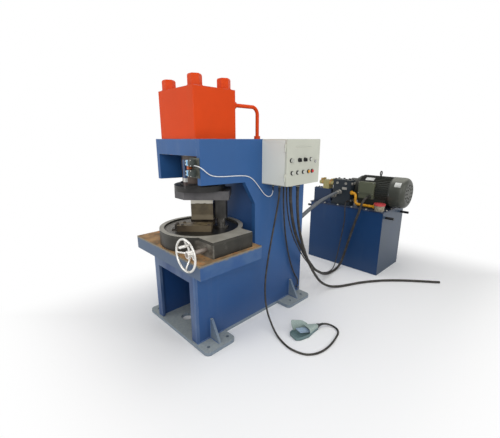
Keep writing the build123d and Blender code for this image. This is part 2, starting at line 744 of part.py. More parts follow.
# Cylinder block with its bore, rod guide and tie-bolt holes
with BuildPart() as cylinder_block:
    slab((-BLOCK_WIDTH / 2, -BLOCK_DEPTH / 2, FRAME_TOP_Z), (BLOCK_WIDTH / 2, BLOCK_DEPTH / 2, BLOCK_TOP_Z))
    chamfer(cylinder_block.edges().filter_by(Axis.Z), BLOCK_EDGE)
    rod(
        (0, 0, FRAME_TOP_Z + BORE_FLOOR),
        ALONG_Z,
        BORE / 2,
        BLOCK_HEIGHT - BORE_FLOOR - BORE_ROOF,
        mode=Mode.SUBTRACT,
    )
    rod((0, 0, FRAME_TOP_Z), ALONG_Z, ROD / 2 + RUNNING, BORE_FLOOR, mode=Mode.SUBTRACT)
    for x, y in TIE_PLACES:
        rod((x, y, FRAME_TOP_Z), ALONG_Z, TIE_ROD / 2 + HOLE_ROOM, BLOCK_HEIGHT, mode=Mode.SUBTRACT)
save(cylinder_block, "cylinder_block")

# Tie bolts with tall hexagon heads, and their nuts under the head top plate
TIE_END_Z = PLATE_BOTTOM_Z - TIE_NUT_HEIGHT
HEX_RADIUS = TIE_HEAD_FLATS / 2 / cos(pi / 6)
with BuildPart() as tie_bolts:
    for x, y in TIE_PLACES:
        rod((x, y, TIE_END_Z), ALONG_Z, TIE_ROD / 2, BLOCK_TOP_Z - TIE_END_Z)
    for bottom, height in ((BLOCK_TOP_Z, TIE_HEAD_HEIGHT), (TIE_END_Z, TIE_NUT_HEIGHT)):
        with BuildSketch(Plane.XY.offset(bottom)):
            with Locations(TIE_PLACES):
                RegularPolygon(HEX_RADIUS, 6)
        extrude(amount=height)
save(tie_bolts, "tie_bolts")

# Oil pipe from the back of the block down into the head, with a collar at each end
PIPE_START = (PIPE_X, BLOCK_DEPTH / 2, BLOCK_TOP_Z - PIPE_DOWN)
PIPE_CORNER = (PIPE_X, BLOCK_DEPTH / 2 + PIPE_OUT, BLOCK_TOP_Z - PIPE_DOWN)
PIPE_END = (PIPE_X, BLOCK_DEPTH / 2 + PIPE_OUT, FRAME_TOP_Z)
with BuildPart() as oil_pipe:
    with BuildLine():
        FilletPolyline(PIPE_START, PIPE_CORNER, PIPE_END, radius=PIPE_BEND)
    with BuildSketch(Plane(origin=PIPE_START, z_dir=ALONG_Y)):
        Circle(PIPE / 2)
    sweep()
    rod(PIPE_START, ALONG_Y, PIPE_COLLAR / 2, PIPE_COLLAR_LENGTH)
    rod(PIPE_END, ALONG_Z, PIPE_COLLAR / 2, PIPE_COLLAR_LENGTH)
save(oil_pipe, "oil_pipe")

# Worm shaft with a single-start right-hand thread that faces the wheel between two teeth
LEAD = pi * MODULE
THREAD_START_Y = -LEAD * (WORM_TURNS / 2 + 1 / 4)
CORE_LENGTH = LEAD * (WORM_TURNS + 2)
WHEEL_PLANE_Y = WORM_BOX_Y[0] - WHEEL_OUT
HUB_FRONT_Y = WHEEL_PLANE_Y + WHEEL_DISH


def thread_half(radius):
    """Half the thread's width along the shaft at a radius from its axis."""
    return TOOTH_HALF - (radius - WORM_PITCH_RADIUS) * TOOTH_TAPER


THREAD_FOOT = WORM_ROOT - THREAD_SUNK
with BuildPart() as worm_shaft:
    with BuildLine() as helix:
        Helix(LEAD, LEAD * WORM_TURNS, WORM_PITCH_RADIUS, (WORM_X, THREAD_START_Y, WORM_Z), ALONG_Y)
    with BuildSketch(Plane(origin=helix.line @ 0, x_dir=ALONG_Z, z_dir=helix.line % 0)):
        with BuildLine():
            Polyline(
                (THREAD_FOOT - WORM_PITCH_RADIUS, -thread_half(THREAD_FOOT)),
                (TOOTH_ADD, -thread_half(WORM_TIP)),
                (TOOTH_ADD, thread_half(WORM_TIP)),
                (THREAD_FOOT - WORM_PITCH_RADIUS, thread_half(THREAD_FOOT)),
                close=True,
            )
        make_face()
    sweep(is_frenet=True)
    rod((WORM_X, -CORE_LENGTH / 2, WORM_Z), ALONG_Y, WORM_ROOT, CORE_LENGTH)
    rod((WORM_X, HUB_FRONT_Y, WORM_Z), ALONG_Y, SHAFT / 2, WORM_BOX_Y[1] - HUB_FRONT_Y)
save(worm_shaft, "worm_shaft")

# Handwheel: round rim, spokes dished back to the hub, and the grip's pin near the top
GRIP_X = WORM_X + WHEEL_RIM * sin(radians(GRIP_TURN))
GRIP_Z = WORM_Z + WHEEL_RIM * cos(radians(GRIP_TURN))
GRIP_BACK_Y = WHEEL_PLANE_Y - WHEEL_RIM_ROD - SHIM
PIN_HEAD_Y = GRIP_BACK_Y - GRIP_LENGTH - SHIM
HUB_MIDDLE = Vector(WORM_X, HUB_FRONT_Y + WHEEL_HUB_LENGTH / 2, WORM_Z)
with BuildPart() as handwheel:
    with BuildSketch(Plane.XY.offset(WORM_Z)):
        with Locations((WORM_X + WHEEL_RIM, WHEEL_PLANE_Y)):
            RegularPolygon(WHEEL_RIM_ROD, WHEEL_RIM_SIDES)
    revolve(axis=Axis((WORM_X, 0, WORM_Z), ALONG_Y))
    rod((WORM_X, HUB_FRONT_Y, WORM_Z), ALONG_Y, WHEEL_HUB, WHEEL_HUB_LENGTH)
    for spoke in range(WHEEL_SPOKES):
        angle = 2 * pi * spoke / WHEEL_SPOKES
        outward = Vector(cos(angle), 0, sin(angle))
        hub_end = HUB_MIDDLE + outward * (SHAFT / 2 + SPOKE_ROD / 2)
        rim_end = Vector(WORM_X, WHEEL_PLANE_Y, WORM_Z) + outward * WHEEL_RIM
        rod(hub_end, rim_end - hub_end, SPOKE_ROD, (rim_end - hub_end).length)
    rod(
        (WORM_X, HUB_FRONT_Y - WHEEL_DISH, WORM_Z),
        ALONG_Y,
        SHAFT / 2 + RUNNING,
        WHEEL_HUB_LENGTH + 2 * WHEEL_DISH,
        mode=Mode.SUBTRACT,
    )
    rod((GRIP_X, WHEEL_PLANE_Y, GRIP_Z), FORWARD, GRIP_PIN, WHEEL_PLANE_Y - PIN_HEAD_Y)
    rod((GRIP_X, PIN_HEAD_Y, GRIP_Z), FORWARD, GRIP_PIN_HEAD, GRIP_PIN_HEAD_LENGTH)
save(handwheel, "handwheel")

with BuildPart() as crank_handle:
    rod((GRIP_X, GRIP_BACK_Y, GRIP_Z), FORWARD, GRIP_RADIUS, GRIP_LENGTH)
    rod((GRIP_X, GRIP_BACK_Y, GRIP_Z), FORWARD, GRIP_PIN + RUNNING, GRIP_LENGTH, mode=Mode.SUBTRACT)
save(crank_handle, "crank_handle")

# Limit switches on their bracket, bored for the plungers
with BuildPart() as limit_switches:
    slab(
        (SIDE_X - BRACKET_IN - BRACKET_WIDTH, SWITCH_BACK_Y, FRAME_TOP_Z - BRACKET_DROP - BRACKET_HEIGHT),
        (SIDE_X - BRACKET_IN, HEAD_FRONT_Y, FRAME_TOP_Z - BRACKET_DROP),
    )
    for level in SWITCH_LEVELS:
        slab(
            (SWITCH_X, SWITCH_BACK_Y - SWITCH_DEPTH, level - SWITCH_HEIGHT / 2),
            (SWITCH_X + SWITCH_LENGTH, SWITCH_BACK_Y, level + SWITCH_HEIGHT / 2),
        )
        rod(
            (SWITCH_X, SWITCH_Y, level),
            ALONG_X,
            PLUNGER / 2 + RUNNING,
            PLUNGER_LENGTH - PLUNGER_OUT + PLUNGER_TRAVEL + HOLE_ROOM,
            mode=Mode.SUBTRACT,
        )
    rod((SWITCH_GLAND_END_X, SWITCH_Y, SWITCH_GLAND_Z), TO_LEFT, SWITCH_GLAND, SWITCH_GLAND_OUT)
save(limit_switches, "limit_switches")

for name, level in zip(("upper_plunger", "lower_plunger"), SWITCH_LEVELS):
    with BuildPart() as plunger:
        rod((PLUNGER_X, SWITCH_Y, level), ALONG_X, PLUNGER / 2, PLUNGER_LENGTH)
    save(plunger, name)

# Control box: a shell open to the door, with cable glands under it and the hinges' lower halves
BOX_MIDDLE = (BOX_FRONT_Y + BOX_WIDTH / 2, BOX_BOTTOM_Z + BOX_HEIGHT / 2)
HINGE_X = BOX_RIM_X + DOOR_THICK / 2
HINGE_Y = BOX_FRONT_Y - HINGE_OUT
HINGE_LEVELS = [BOX_BOTTOM_Z + up for up in HINGES_UP]
BOX_GLANDS = (
    (PEDAL_GLAND, PEDAL_LEAD),
    (EARTH_GLAND, EARTH_LEAD),
    (MOTOR_GLAND, MOTOR_LEAD),
    (SUPPLY_GLAND, SUPPLY_LEAD),
    (SWITCH_LEAD_GLAND, SWITCH_LEAD),
    (VALVE_LEAD_GLAND, VALVE_LEAD),
)
with BuildPart() as control_box:
    with BuildSketch(Plane.YZ.offset(SIDE_X)):
        with Locations(BOX_MIDDLE):
            RectangleRounded(BOX_WIDTH, BOX_HEIGHT, BOX_CORNER)
    extrude(amount=BOX_DEPTH)
    with BuildSketch(Plane.YZ.offset(SIDE_X + BOX_WALL)):
        with Locations(BOX_MIDDLE):
            RectangleRounded(BOX_WIDTH - 2 * BOX_WALL, BOX_HEIGHT - 2 * BOX_WALL, BOX_CORNER - BOX_WALL)
    extrude(amount=BOX_DEPTH - BOX_WALL, mode=Mode.SUBTRACT)
    for place, lead in BOX_GLANDS:
        rod((*place, BOX_BOTTOM_Z), DOWN, lead / 2 + GLAND_WALL, GLAND_LENGTH)
    for level in HINGE_LEVELS:
        slab(
            (BOX_RIM_X - HINGE_STRAP_LENGTH, BOX_FRONT_Y - HINGE_STRAP, level - HINGE_HALF),
            (HINGE_X, BOX_FRONT_Y, level),
        )
        rod((HINGE_X, HINGE_Y, level), DOWN, HINGE_BARREL, HINGE_HALF)
        rod((HINGE_X, HINGE_Y, level), ALONG_Z, HINGE_PIN, HINGE_HALF)
save(control_box, "control_box")

# Door: a shallow pan drilled for the controls, with the hinges' upper halves
PAN_INSIDE_X = DOOR_X - DOOR_SKIN
with BuildPart() as box_door:
    with BuildSketch(Plane.YZ.offset(BOX_RIM_X)):
        with Locations(BOX_MIDDLE):
            RectangleRounded(BOX_WIDTH, BOX_HEIGHT, BOX_CORNER)
    extrude(amount=DOOR_THICK)
    with BuildSketch(Plane.YZ.offset(BOX_RIM_X)):
        with Locations(BOX_MIDDLE):
            RectangleRounded(BOX_WIDTH - 2 * BOX_WALL, BOX_HEIGHT - 2 * BOX_WALL, BOX_CORNER - BOX_WALL)
    extrude(amount=DOOR_THICK - DOOR_SKIN, mode=Mode.SUBTRACT)
    for along in BUTTONS_AT:
        rod(
            (PAN_INSIDE_X, BOX_FRONT_Y + along, BOX_BOTTOM_Z + BOTTOM_ROW_UP),
            ALONG_X,
            BUTTON + LOOSE,
            DOOR_SKIN,
            mode=Mode.SUBTRACT,
        )
    for along, up in [(along, TOP_ROW_UP) for along in SELECTORS_AT] + [(LOCK_AT, LOCK_UP)]:
        rod(
            (PAN_INSIDE_X, BOX_FRONT_Y + along, BOX_BOTTOM_Z + up),
            ALONG_X,
            SPINDLE + RUNNING,
            DOOR_SKIN,
            mode=Mode.SUBTRACT,
        )
    for level in HINGE_LEVELS:
        slab(
            (HINGE_X, BOX_FRONT_Y - HINGE_STRAP, level + SHIM),
            (DOOR_X, BOX_FRONT_Y + BOX_WALL, level + HINGE_HALF),
        )
        rod((HINGE_X, HINGE_Y, level + SHIM), ALONG_Z, HINGE_BARREL, HINGE_HALF - SHIM)
        rod((HINGE_X, HINGE_Y, level), ALONG_Z, HINGE_PIN + RUNNING, HINGE_HALF, mode=Mode.SUBTRACT)
save(box_door, "box_door")

# Bezels round the controls, with the signal lamp in its own
with BuildPart() as control_bezels:
    for along in BUTTONS_AT:
        place = (DOOR_X, BOX_FRONT_Y + along, BOX_BOTTOM_Z + BOTTOM_ROW_UP)
        rod(place, ALONG_X, BEZEL, BEZEL_HEIGHT)
        rod(place, ALONG_X, BUTTON + LOOSE, BEZEL_HEIGHT, mode=Mode.SUBTRACT)
    for along in SELECTORS_AT:
        place = (DOOR_X, BOX_FRONT_Y + along, BOX_BOTTOM_Z + TOP_ROW_UP)
        rod(place, ALONG_X, BEZEL, BEZEL_HEIGHT)
        rod(place, ALONG_X, SPINDLE + RUNNING, BEZEL_HEIGHT, mode=Mode.SUBTRACT)
    lamp_place = (DOOR_X, BOX_FRONT_Y + LAMP_AT, BOX_BOTTOM_Z + TOP_ROW_UP)
    rod(lamp_place, ALONG_X, BEZEL, BEZEL_HEIGHT)
    rod(lamp_place, ALONG_X, LAMP, LAMP_OUT)
save(control_bezels, "control_bezels")

# Push buttons, each held behind the door by a collar
BUTTON_NAMES = ("left_button", "middle_button", "right_button", "yellow_button", "red_button")
COLLAR_X = PAN_INSIDE_X - SHIM - COLLAR_THICK
for name, along in zip(BUTTON_NAMES, BUTTONS_AT):
    with BuildPart() as button:
        place = (COLLAR_X, BOX_FRONT_Y + along, BOX_BOTTOM_Z + BOTTOM_ROW_UP)
        rod(place, ALONG_X, COLLAR, COLLAR_THICK)
        rod(place, ALONG_X, BUTTON, DOOR_X + BUTTON_OUT - COLLAR_X)
    save(button, name)

# Selector knobs: a spindle through the bezel, a round knob and its finger grip
KNOB_X = DOOR_X + BEZEL_HEIGHT + SHIM
for name, along in zip(("left_selector", "middle_selector", "right_selector"), SELECTORS_AT):
    with BuildPart() as selector:
        selector_y = BOX_FRONT_Y + along
        selector_z = BOX_BOTTOM_Z + TOP_ROW_UP
        rod((COLLAR_X, selector_y, selector_z), ALONG_X, COLLAR, COLLAR_THICK)
        rod((COLLAR_X, selector_y, selector_z), ALONG_X, SPINDLE, KNOB_X - COLLAR_X)
        rod((KNOB_X, selector_y, selector_z), ALONG_X, KNOB, KNOB_HEIGHT)
        slab(
            (KNOB_X, selector_y - KNOB_GRIP / 2, selector_z - KNOB),
            (KNOB_X + KNOB_HEIGHT + KNOB_GRIP_OUT, selector_y + KNOB_GRIP / 2, selector_z + KNOB),
        )
    save(selector, name)

# Door lock: a key head outside and a cam inside
LOCK_Y = BOX_FRONT_Y + LOCK_AT
LOCK_Z = BOX_BOTTOM_Z + LOCK_UP
CAM_X = DOOR_X + SHIM - LOCK_SPINDLE_LENGTH
with BuildPart() as door_lock:
    rod((DOOR_X + SHIM, LOCK_Y, LOCK_Z), ALONG_X, LOCK_HEAD, LOCK_HEAD_OUT)
    rod((CAM_X, LOCK_Y, LOCK_Z), ALONG_X, SPINDLE, LOCK_SPINDLE_LENGTH)
    slab(
        (CAM_X, LOCK_Y - LOCK_CAM_WIDTH / 2, LOCK_Z - LOCK_CAM_WIDTH / 2),
        (CAM_X + COLLAR_THICK, LOCK_Y + LOCK_CAM_LENGTH, LOCK_Z + LOCK_CAM_WIDTH / 2),
    )
save(door_lock, "door_lock")

# Foot pedal: a tray with a low rim, a rear cover, a guard on its left side, and the lead's gland
PEDAL_FRONT = -PEDAL_LENGTH / 2
PEDAL_REAR = PEDAL_LENGTH / 2
PEDAL_GLAND_END = PEDAL_REAR + PEDAL_GLAND_LENGTH
PEDAL_BACK = PEDAL_FRONT + PEDAL_BACK_IN
PEDAL_ROOM_END = PEDAL_FRONT + PEDAL_ROOM
PIVOT = PEDAL_FRONT + TREADLE_PIVOT_IN
PEDAL_SIDES = (
    (PEDAL_FRONT, PEDAL_FRONT_WIDTH / 2),
    (PEDAL_FRONT + PEDAL_SHOULDERS[0], PEDAL_WIDTH / 2),
    (PEDAL_FRONT + PEDAL_SHOULDERS[1], PEDAL_WIDTH / 2),
    (PEDAL_FRONT + PEDAL_WAIST_IN, PEDAL_WAIST / 2),
    (PEDAL_REAR, PEDAL_TAIL / 2),
)


def pedal_outline():
    """Face of the pedal seen from above, in the sketch being built."""
    right_side = [(x, -y) for x, y in PEDAL_SIDES]
    Polygon(*right_side, *PEDAL_SIDES[::-1], align=None)


def across_pedal(corners, mode, left_only=False):
    """Side view of the pedal carried across its width, in the part being built."""
    with BuildSketch(PEDAL_SIDE) as side_view:
        Polygon(*corners, align=None)
    extrude(side_view.sketch, amount=-PEDAL_WIDTH if left_only else PEDAL_WIDTH, both=not left_only, mode=mode)


with BuildPart() as pedal_housing:
    with BuildSketch(PEDAL):
        pedal_outline()
    extrude(amount=PEDAL_BACK_HEIGHT)
    across_pedal(
        (
            (PEDAL_FRONT, PEDAL_RIM),
            (PEDAL_BACK, PEDAL_RIM),
            (PEDAL_BACK, PEDAL_BACK_HEIGHT),
            (PEDAL_FRONT, PEDAL_BACK_HEIGHT),
        ),
        Mode.SUBTRACT,
    )
    across_pedal(
        (
            (PEDAL_BACK, PEDAL_BACK_HEIGHT),
            (PEDAL_REAR, PEDAL_TAIL_HEIGHT),
            (PEDAL_REAR, PEDAL_BACK_HEIGHT),
        ),
        Mode.SUBTRACT,
    )
    with BuildPart(mode=Mode.SUBTRACT) as pedal_room:
        with BuildSketch(PEDAL.offset(PEDAL_FLOOR)):
            pedal_outline()
            offset(amount=-PEDAL_WALL, mode=Mode.REPLACE)
        extrude(amount=PEDAL_BACK_HEIGHT)
        across_pedal(
            (
                (PEDAL_BACK, PEDAL_BACK_HEIGHT - PEDAL_WALL),
                (PEDAL_ROOM_END, PEDAL_ROOM_HEIGHT),
                (PEDAL_ROOM_END, 0),
                (PEDAL_REAR, 0),
                (PEDAL_REAR, 2 * PEDAL_BACK_HEIGHT),
                (PEDAL_BACK, 2 * PEDAL_BACK_HEIGHT),
            ),
            Mode.SUBTRACT,
        )
    with BuildPart() as pedal_guard:
        with BuildSketch(PEDAL):
            pedal_outline()
            offset(amount=-PEDAL_WALL, mode=Mode.SUBTRACT)
        extrude(amount=2 * PEDAL_BACK_HEIGHT + PEDAL_RIM)
        across_pedal(
            (
                (PEDAL_FRONT + PEDAL_GUARD_FOOT[0], PEDAL_FLOOR),
                *[(PEDAL_FRONT + along, height) for along, height in PEDAL_GUARD],
                (PEDAL_FRONT + PEDAL_GUARD_FOOT[1], PEDAL_GUARD_REAR),
                (PEDAL_FRONT + PEDAL_GUARD_FOOT[1], PEDAL_FLOOR),
            ),
            Mode.INTERSECT,
            left_only=True,
        )
    rod(
        PEDAL.from_local_coords((PIVOT, -PEDAL_WIDTH / 2, TREADLE_PIVOT_UP)),
        PEDAL.y_dir,
        TRUNNION + RUNNING,
        PEDAL_WIDTH,
        mode=Mode.SUBTRACT,
    )
    rod(
        PEDAL.from_local_coords((PEDAL_REAR, 0, PEDAL_LEAD_UP)),
        PEDAL_WAY,
        PEDAL_LEAD / 2 + GLAND_WALL,
        PEDAL_GLAND_LENGTH,
    )
save(pedal_housing, "pedal_housing")

# Treadle: a sloping plate on two trunnions
with BuildPart() as pedal_treadle:
    with BuildSketch(PEDAL_SIDE):
        with BuildLine():
            Polyline(
                (PIVOT, TREADLE_PIVOT_UP - TREADLE_THICK / 2),
                (PIVOT, TREADLE_PIVOT_UP + TREADLE_THICK / 2),
                (PIVOT - TREADLE_REACH, TREADLE_FRONT_UP + TREADLE_THICK / 2),
                (PIVOT - TREADLE_REACH, TREADLE_FRONT_UP - TREADLE_THICK / 2),
                close=True,
            )
        make_face()
    extrude(amount=TREADLE_WIDTH / 2, both=True)
    rod(
        PEDAL.from_local_coords((PIVOT, -TREADLE_WIDTH / 2, TREADLE_PIVOT_UP)),
        PEDAL.y_dir,
        TREADLE_BOSS,
        TREADLE_WIDTH,
    )
    rod(
        PEDAL.from_local_coords((PIVOT, -TRUNNION_SPAN / 2, TREADLE_PIVOT_UP)),
        PEDAL.y_dir,
        TRUNNION,
        TRUNNION_SPAN,
    )
save(pedal_treadle, "pedal_treadle")

# Oil tank with its lifting bars, and the lid that carries the power unit
with BuildPart() as tank:
    slab((TANK_X[0], TANK_Y[0], 0), (TANK_X[1], TANK_Y[1], TANK_HEIGHT))
    slab(
        (TANK_X[0] + TANK_WALL, TANK_Y[0] + TANK_WALL, TANK_WALL),
        (TANK_X[1] - TANK_WALL, TANK_Y[1] - TANK_WALL, TANK_HEIGHT),
        mode=Mode.SUBTRACT,
    )
    for bar_y in (TANK_Y[0] + LIFT_BAR_INSET, TANK_Y[1] - LIFT_BAR_INSET):
        bar_z = TANK_HEIGHT - LIFT_BAR_DROP
        rod((TANK_X[1], bar_y, bar_z), ALONG_X, LIFT_BAR, LIFT_BAR_OUT)
        rod((TANK_X[0], bar_y, bar_z), TO_LEFT, LIFT_BAR, LIFT_BAR_OUT)
save(tank, "tank")

with BuildPart() as tank_lid:
    slab(
        (TANK_X[0] - LID_LIP, TANK_Y[0] - LID_LIP, TANK_HEIGHT),
        (TANK_X[1] + LID_LIP, TANK_Y[1] + LID_LIP, LID_TOP_Z),
    )
save(tank_lid, "tank_lid")

# Motor body: finned stator housing with feet, end shields, a lifting eye and a seat for the terminal box
MOTOR_LENGTH = MOTOR_X[1] - MOTOR_X[0]
TERMINAL_X = MOTOR_X[0] + TERMINAL_IN
TERMINAL_BACK_Y = MOTOR_Y - TERMINAL_SEAT
with BuildPart() as motor_body:
    rod((MOTOR_X[0], MOTOR_Y, MOTOR_Z), ALONG_X, MOTOR_RADIUS, MOTOR_LENGTH)
    with BuildSketch(Plane.YZ.offset(MOTOR_X[0] + END_SHIELD)):
        with Locations((MOTOR_Y, MOTOR_Z)):
            with PolarLocations(MOTOR_RADIUS, FINS):
                Rectangle(2 * FIN_HEIGHT, FIN_THICK)
    extrude(amount=MOTOR_LENGTH - END_SHIELD)
    rod((MOTOR_X[1] - REAR_FLANGE, MOTOR_Y, MOTOR_Z), ALONG_X, FAN_COVER_RADIUS, REAR_FLANGE)
    for side in (-1, 1):
        foot_y = MOTOR_Y + side * FOOT_SPREAD
        slab(
            (MOTOR_X[0] + FOOT_INSET, foot_y - FOOT_WIDTH / 2, LID_TOP_Z),
            (MOTOR_X[1] - FOOT_INSET, foot_y + FOOT_WIDTH / 2, LID_TOP_Z + FOOT_THICK),
        )
        slab(
            (MOTOR_X[0] + FOOT_INSET, foot_y - FOOT_WEB / 2, LID_TOP_Z),
            (MOTOR_X[1] - FOOT_INSET, foot_y + FOOT_WEB / 2, MOTOR_Z - MOTOR_RADIUS / 2),
        )
    eye_x = MOTOR_X[0] + EYE_IN
    rod((eye_x, MOTOR_Y, MOTOR_Z + MOTOR_RADIUS - EYE_STEM), ALONG_Z, EYE_STEM, FIN_HEIGHT + 2 * EYE_STEM)
    eye_z = MOTOR_Z + MOTOR_RADIUS + FIN_HEIGHT + EYE_STEM + EYE_RING
    with Locations(Location((eye_x, MOTOR_Y, eye_z), (0, 90, 0))):
        Torus(EYE_RING, EYE_ROD)
    slab(
        (TERMINAL_X - HOLE_ROOM, TERMINAL_BACK_Y - TERMINAL_DEPTH, MOTOR_Z - TERMINAL_BELOW - HOLE_ROOM),
        (TERMINAL_X + TERMINAL_LENGTH + HOLE_ROOM, TERMINAL_BACK_Y, MOTOR_Z + TERMINAL_ABOVE + HOLE_ROOM),
        mode=Mode.SUBTRACT,
    )
    rod((MOTOR_X[0], MOTOR_Y, MOTOR_Z), ALONG_X, MOTOR_SHAFT / 2 + RUNNING, MOTOR_LENGTH, mode=Mode.SUBTRACT)
    rod(
        (MOTOR_X[0] + END_SHIELD, MOTOR_Y, MOTOR_Z),
        ALONG_X,
        ROTOR_RADIUS + ROTOR_GAP,
        MOTOR_LENGTH - 2 * END_SHIELD,
        mode=Mode.SUBTRACT,
    )
save(motor_body, "motor_body")

with BuildPart() as fan_cover:
    rod((MOTOR_X[1], MOTOR_Y, MOTOR_Z), ALONG_X, FAN_COVER_RADIUS, FAN_COVER_LENGTH)
    fillet(fan_cover.edges().sort_by(Axis.X)[-1], FAN_COVER_CORNER)
    with BuildPart(mode=Mode.SUBTRACT) as fan_room:
        rod(
            (MOTOR_X[1], MOTOR_Y, MOTOR_Z),
            ALONG_X,
            FAN_COVER_RADIUS - FAN_COVER_WALL,
            FAN_COVER_LENGTH - FAN_COVER_WALL,
        )
        fillet(fan_room.edges().sort_by(Axis.X)[-1], FAN_COVER_CORNER - FAN_COVER_WALL)
    for ring_radius, count in VENT_RINGS:
        with BuildSketch(Plane.YZ.offset(MOTOR_X[1] + FAN_COVER_LENGTH - FAN_COVER_WALL)):
            with Locations((MOTOR_Y, MOTOR_Z)):
                with PolarLocations(ring_radius, count):
                    Circle(VENT)
        extrude(amount=FAN_COVER_WALL, mode=Mode.SUBTRACT)
save(fan_cover, "fan_cover")

# Terminal box on the motor's side, with the lead's gland on its front
TERMINAL_GLAND_X = TERMINAL_X + TERMINAL_LENGTH - TERMINAL_GLAND_IN
TERMINAL_FRONT_Y = TERMINAL_BACK_Y - TERMINAL_DEPTH
TERMINAL_GLAND_Z = MOTOR_Z - TERMINAL_BELOW + TERMINAL_GLAND_UP
with BuildPart() as terminal_box:
    slab(
        (TERMINAL_X, TERMINAL_FRONT_Y, MOTOR_Z - TERMINAL_BELOW),
        (TERMINAL_X + TERMINAL_LENGTH, TERMINAL_BACK_Y, MOTOR_Z + TERMINAL_ABOVE),
    )
    rod(
        (TERMINAL_GLAND_X, TERMINAL_FRONT_Y, TERMINAL_GLAND_Z),
        FORWARD,
        MOTOR_LEAD / 2 + GLAND_WALL,
        TERMINAL_GLAND_OUT,
    )
save(terminal_box, "terminal_box")

# Rotor: core, shaft, fan, coupling and the pump's drive end
PUMP_FACE_X = MOTOR_X[0] - BELL_LENGTH
COUPLING_X = PUMP_FACE_X + (BELL_LENGTH + BELL_WALL - COUPLING_LENGTH) / 2
FAN_X = MOTOR_X[1] + FAN_GAP
with BuildPart() as motor_rotor:
    rod((COUPLING_X, MOTOR_Y, MOTOR_Z), ALONG_X, MOTOR_SHAFT / 2, FAN_X + FAN_WIDTH - COUPLING_X)
    rod(
        (MOTOR_X[0] + END_SHIELD + ROTOR_GAP, MOTOR_Y, MOTOR_Z),
        ALONG_X,
        ROTOR_RADIUS,
        MOTOR_LENGTH - 2 * END_SHIELD - 2 * ROTOR_GAP,
    )
    rod((COUPLING_X, MOTOR_Y, MOTOR_Z), ALONG_X, COUPLING, COUPLING_LENGTH)
    rod(
        (PUMP_FACE_X - PUMP_SHAFT_SUNK, MOTOR_Y, MOTOR_Z),
        ALONG_X,
        PUMP_SHAFT / 2,
        COUPLING_X - PUMP_FACE_X + PUMP_SHAFT_SUNK,
    )
    rod((FAN_X, MOTOR_Y, MOTOR_Z), ALONG_X, FAN_HUB, FAN_WIDTH)
    with BuildSketch(Plane.YZ.offset(FAN_X)):
        with Locations((MOTOR_Y, MOTOR_Z)):
            with PolarLocations(FAN_RADIUS / 2, FAN_BLADES):
                Rectangle(FAN_RADIUS, FAN_BLADE)
    extrude(amount=FAN_WIDTH)
save(motor_rotor, "motor_rotor")

# Pump on its bell housing
with BuildPart() as pump_unit:
    rod((PUMP_FACE_X, MOTOR_Y, MOTOR_Z), ALONG_X, BELL_RADIUS, BELL_LENGTH)
    rod(
        (PUMP_FACE_X + BELL_WALL, MOTOR_Y, MOTOR_Z),
        ALONG_X,
        BELL_RADIUS - BELL_WALL,
        BELL_LENGTH - BELL_WALL,
        mode=Mode.SUBTRACT,
    )
    rod((PUMP_FACE_X, MOTOR_Y, MOTOR_Z), TO_LEFT, PUMP_RADIUS, PUMP_LENGTH)
    rod(
        (PUMP_FACE_X - PUMP_SHAFT_SUNK - HOLE_ROOM, MOTOR_Y, MOTOR_Z),
        ALONG_X,
        PUMP_SHAFT / 2 + RUNNING,
        PUMP_SHAFT_SUNK + HOLE_ROOM + BELL_WALL,
        mode=Mode.SUBTRACT,
    )
save(pump_unit, "pump_unit")

# Valve manifold: an upright block, a low block for the valves and a common foot, with the hose fittings
# and the valve lead's gland
with BuildPart() as valve_manifold:
    for left, right, height in (
        (*MANIFOLD_X, MANIFOLD_HEIGHT),
        (*SUBPLATE_X, SUBPLATE_HEIGHT),
        (SUBPLATE_X[0], MANIFOLD_X[1], MANIFOLD_FOOT),
    ):
        slab((left, MANIFOLD_FRONT_Y, LID_TOP_Z), (right, MANIFOLD_BACK_Y, LID_TOP_Z + height))
    for port_x, port_up in (PRESSURE_PORT, RETURN_PORT):
        rod((port_x, MANIFOLD_FRONT_Y, LID_TOP_Z + port_up), FORWARD, HOSE_COLLAR, MANIFOLD_COLLAR_LENGTH)
    rod(
        (VALVE_LEAD_PORT[0], MANIFOLD_FRONT_Y, LID_TOP_Z + VALVE_LEAD_PORT[1]),
        FORWARD,
        VALVE_LEAD / 2 + GLAND_WALL,
        VALVE_GLAND_OUT,
    )
save(valve_manifold, "valve_manifold")

# Two solenoid valves side by side, each with a coil at both ends
VALVE_BOTTOM_Z = LID_TOP_Z + SUBPLATE_HEIGHT
with BuildPart() as solenoid_valves:
    for side in (-1, 1):
        valve_y = (MANIFOLD_FRONT_Y + MANIFOLD_BACK_Y + side * VALVE_PITCH) / 2
        slab(
            (VALVE_X - VALVE_LENGTH / 2, valve_y - VALVE_WIDTH / 2, VALVE_BOTTOM_Z),
            (VALVE_X + VALVE_LENGTH / 2, valve_y + VALVE_WIDTH / 2, VALVE_BOTTOM_Z + VALVE_HEIGHT),
        )
        rod(
            (VALVE_X - VALVE_LENGTH / 2 - COIL_LENGTH, valve_y, VALVE_BOTTOM_Z + COIL_UP),
            ALONG_X,
            COIL_RADIUS,
            VALVE_LENGTH + 2 * COIL_LENGTH,
        )
save(solenoid_valves, "solenoid_valves")

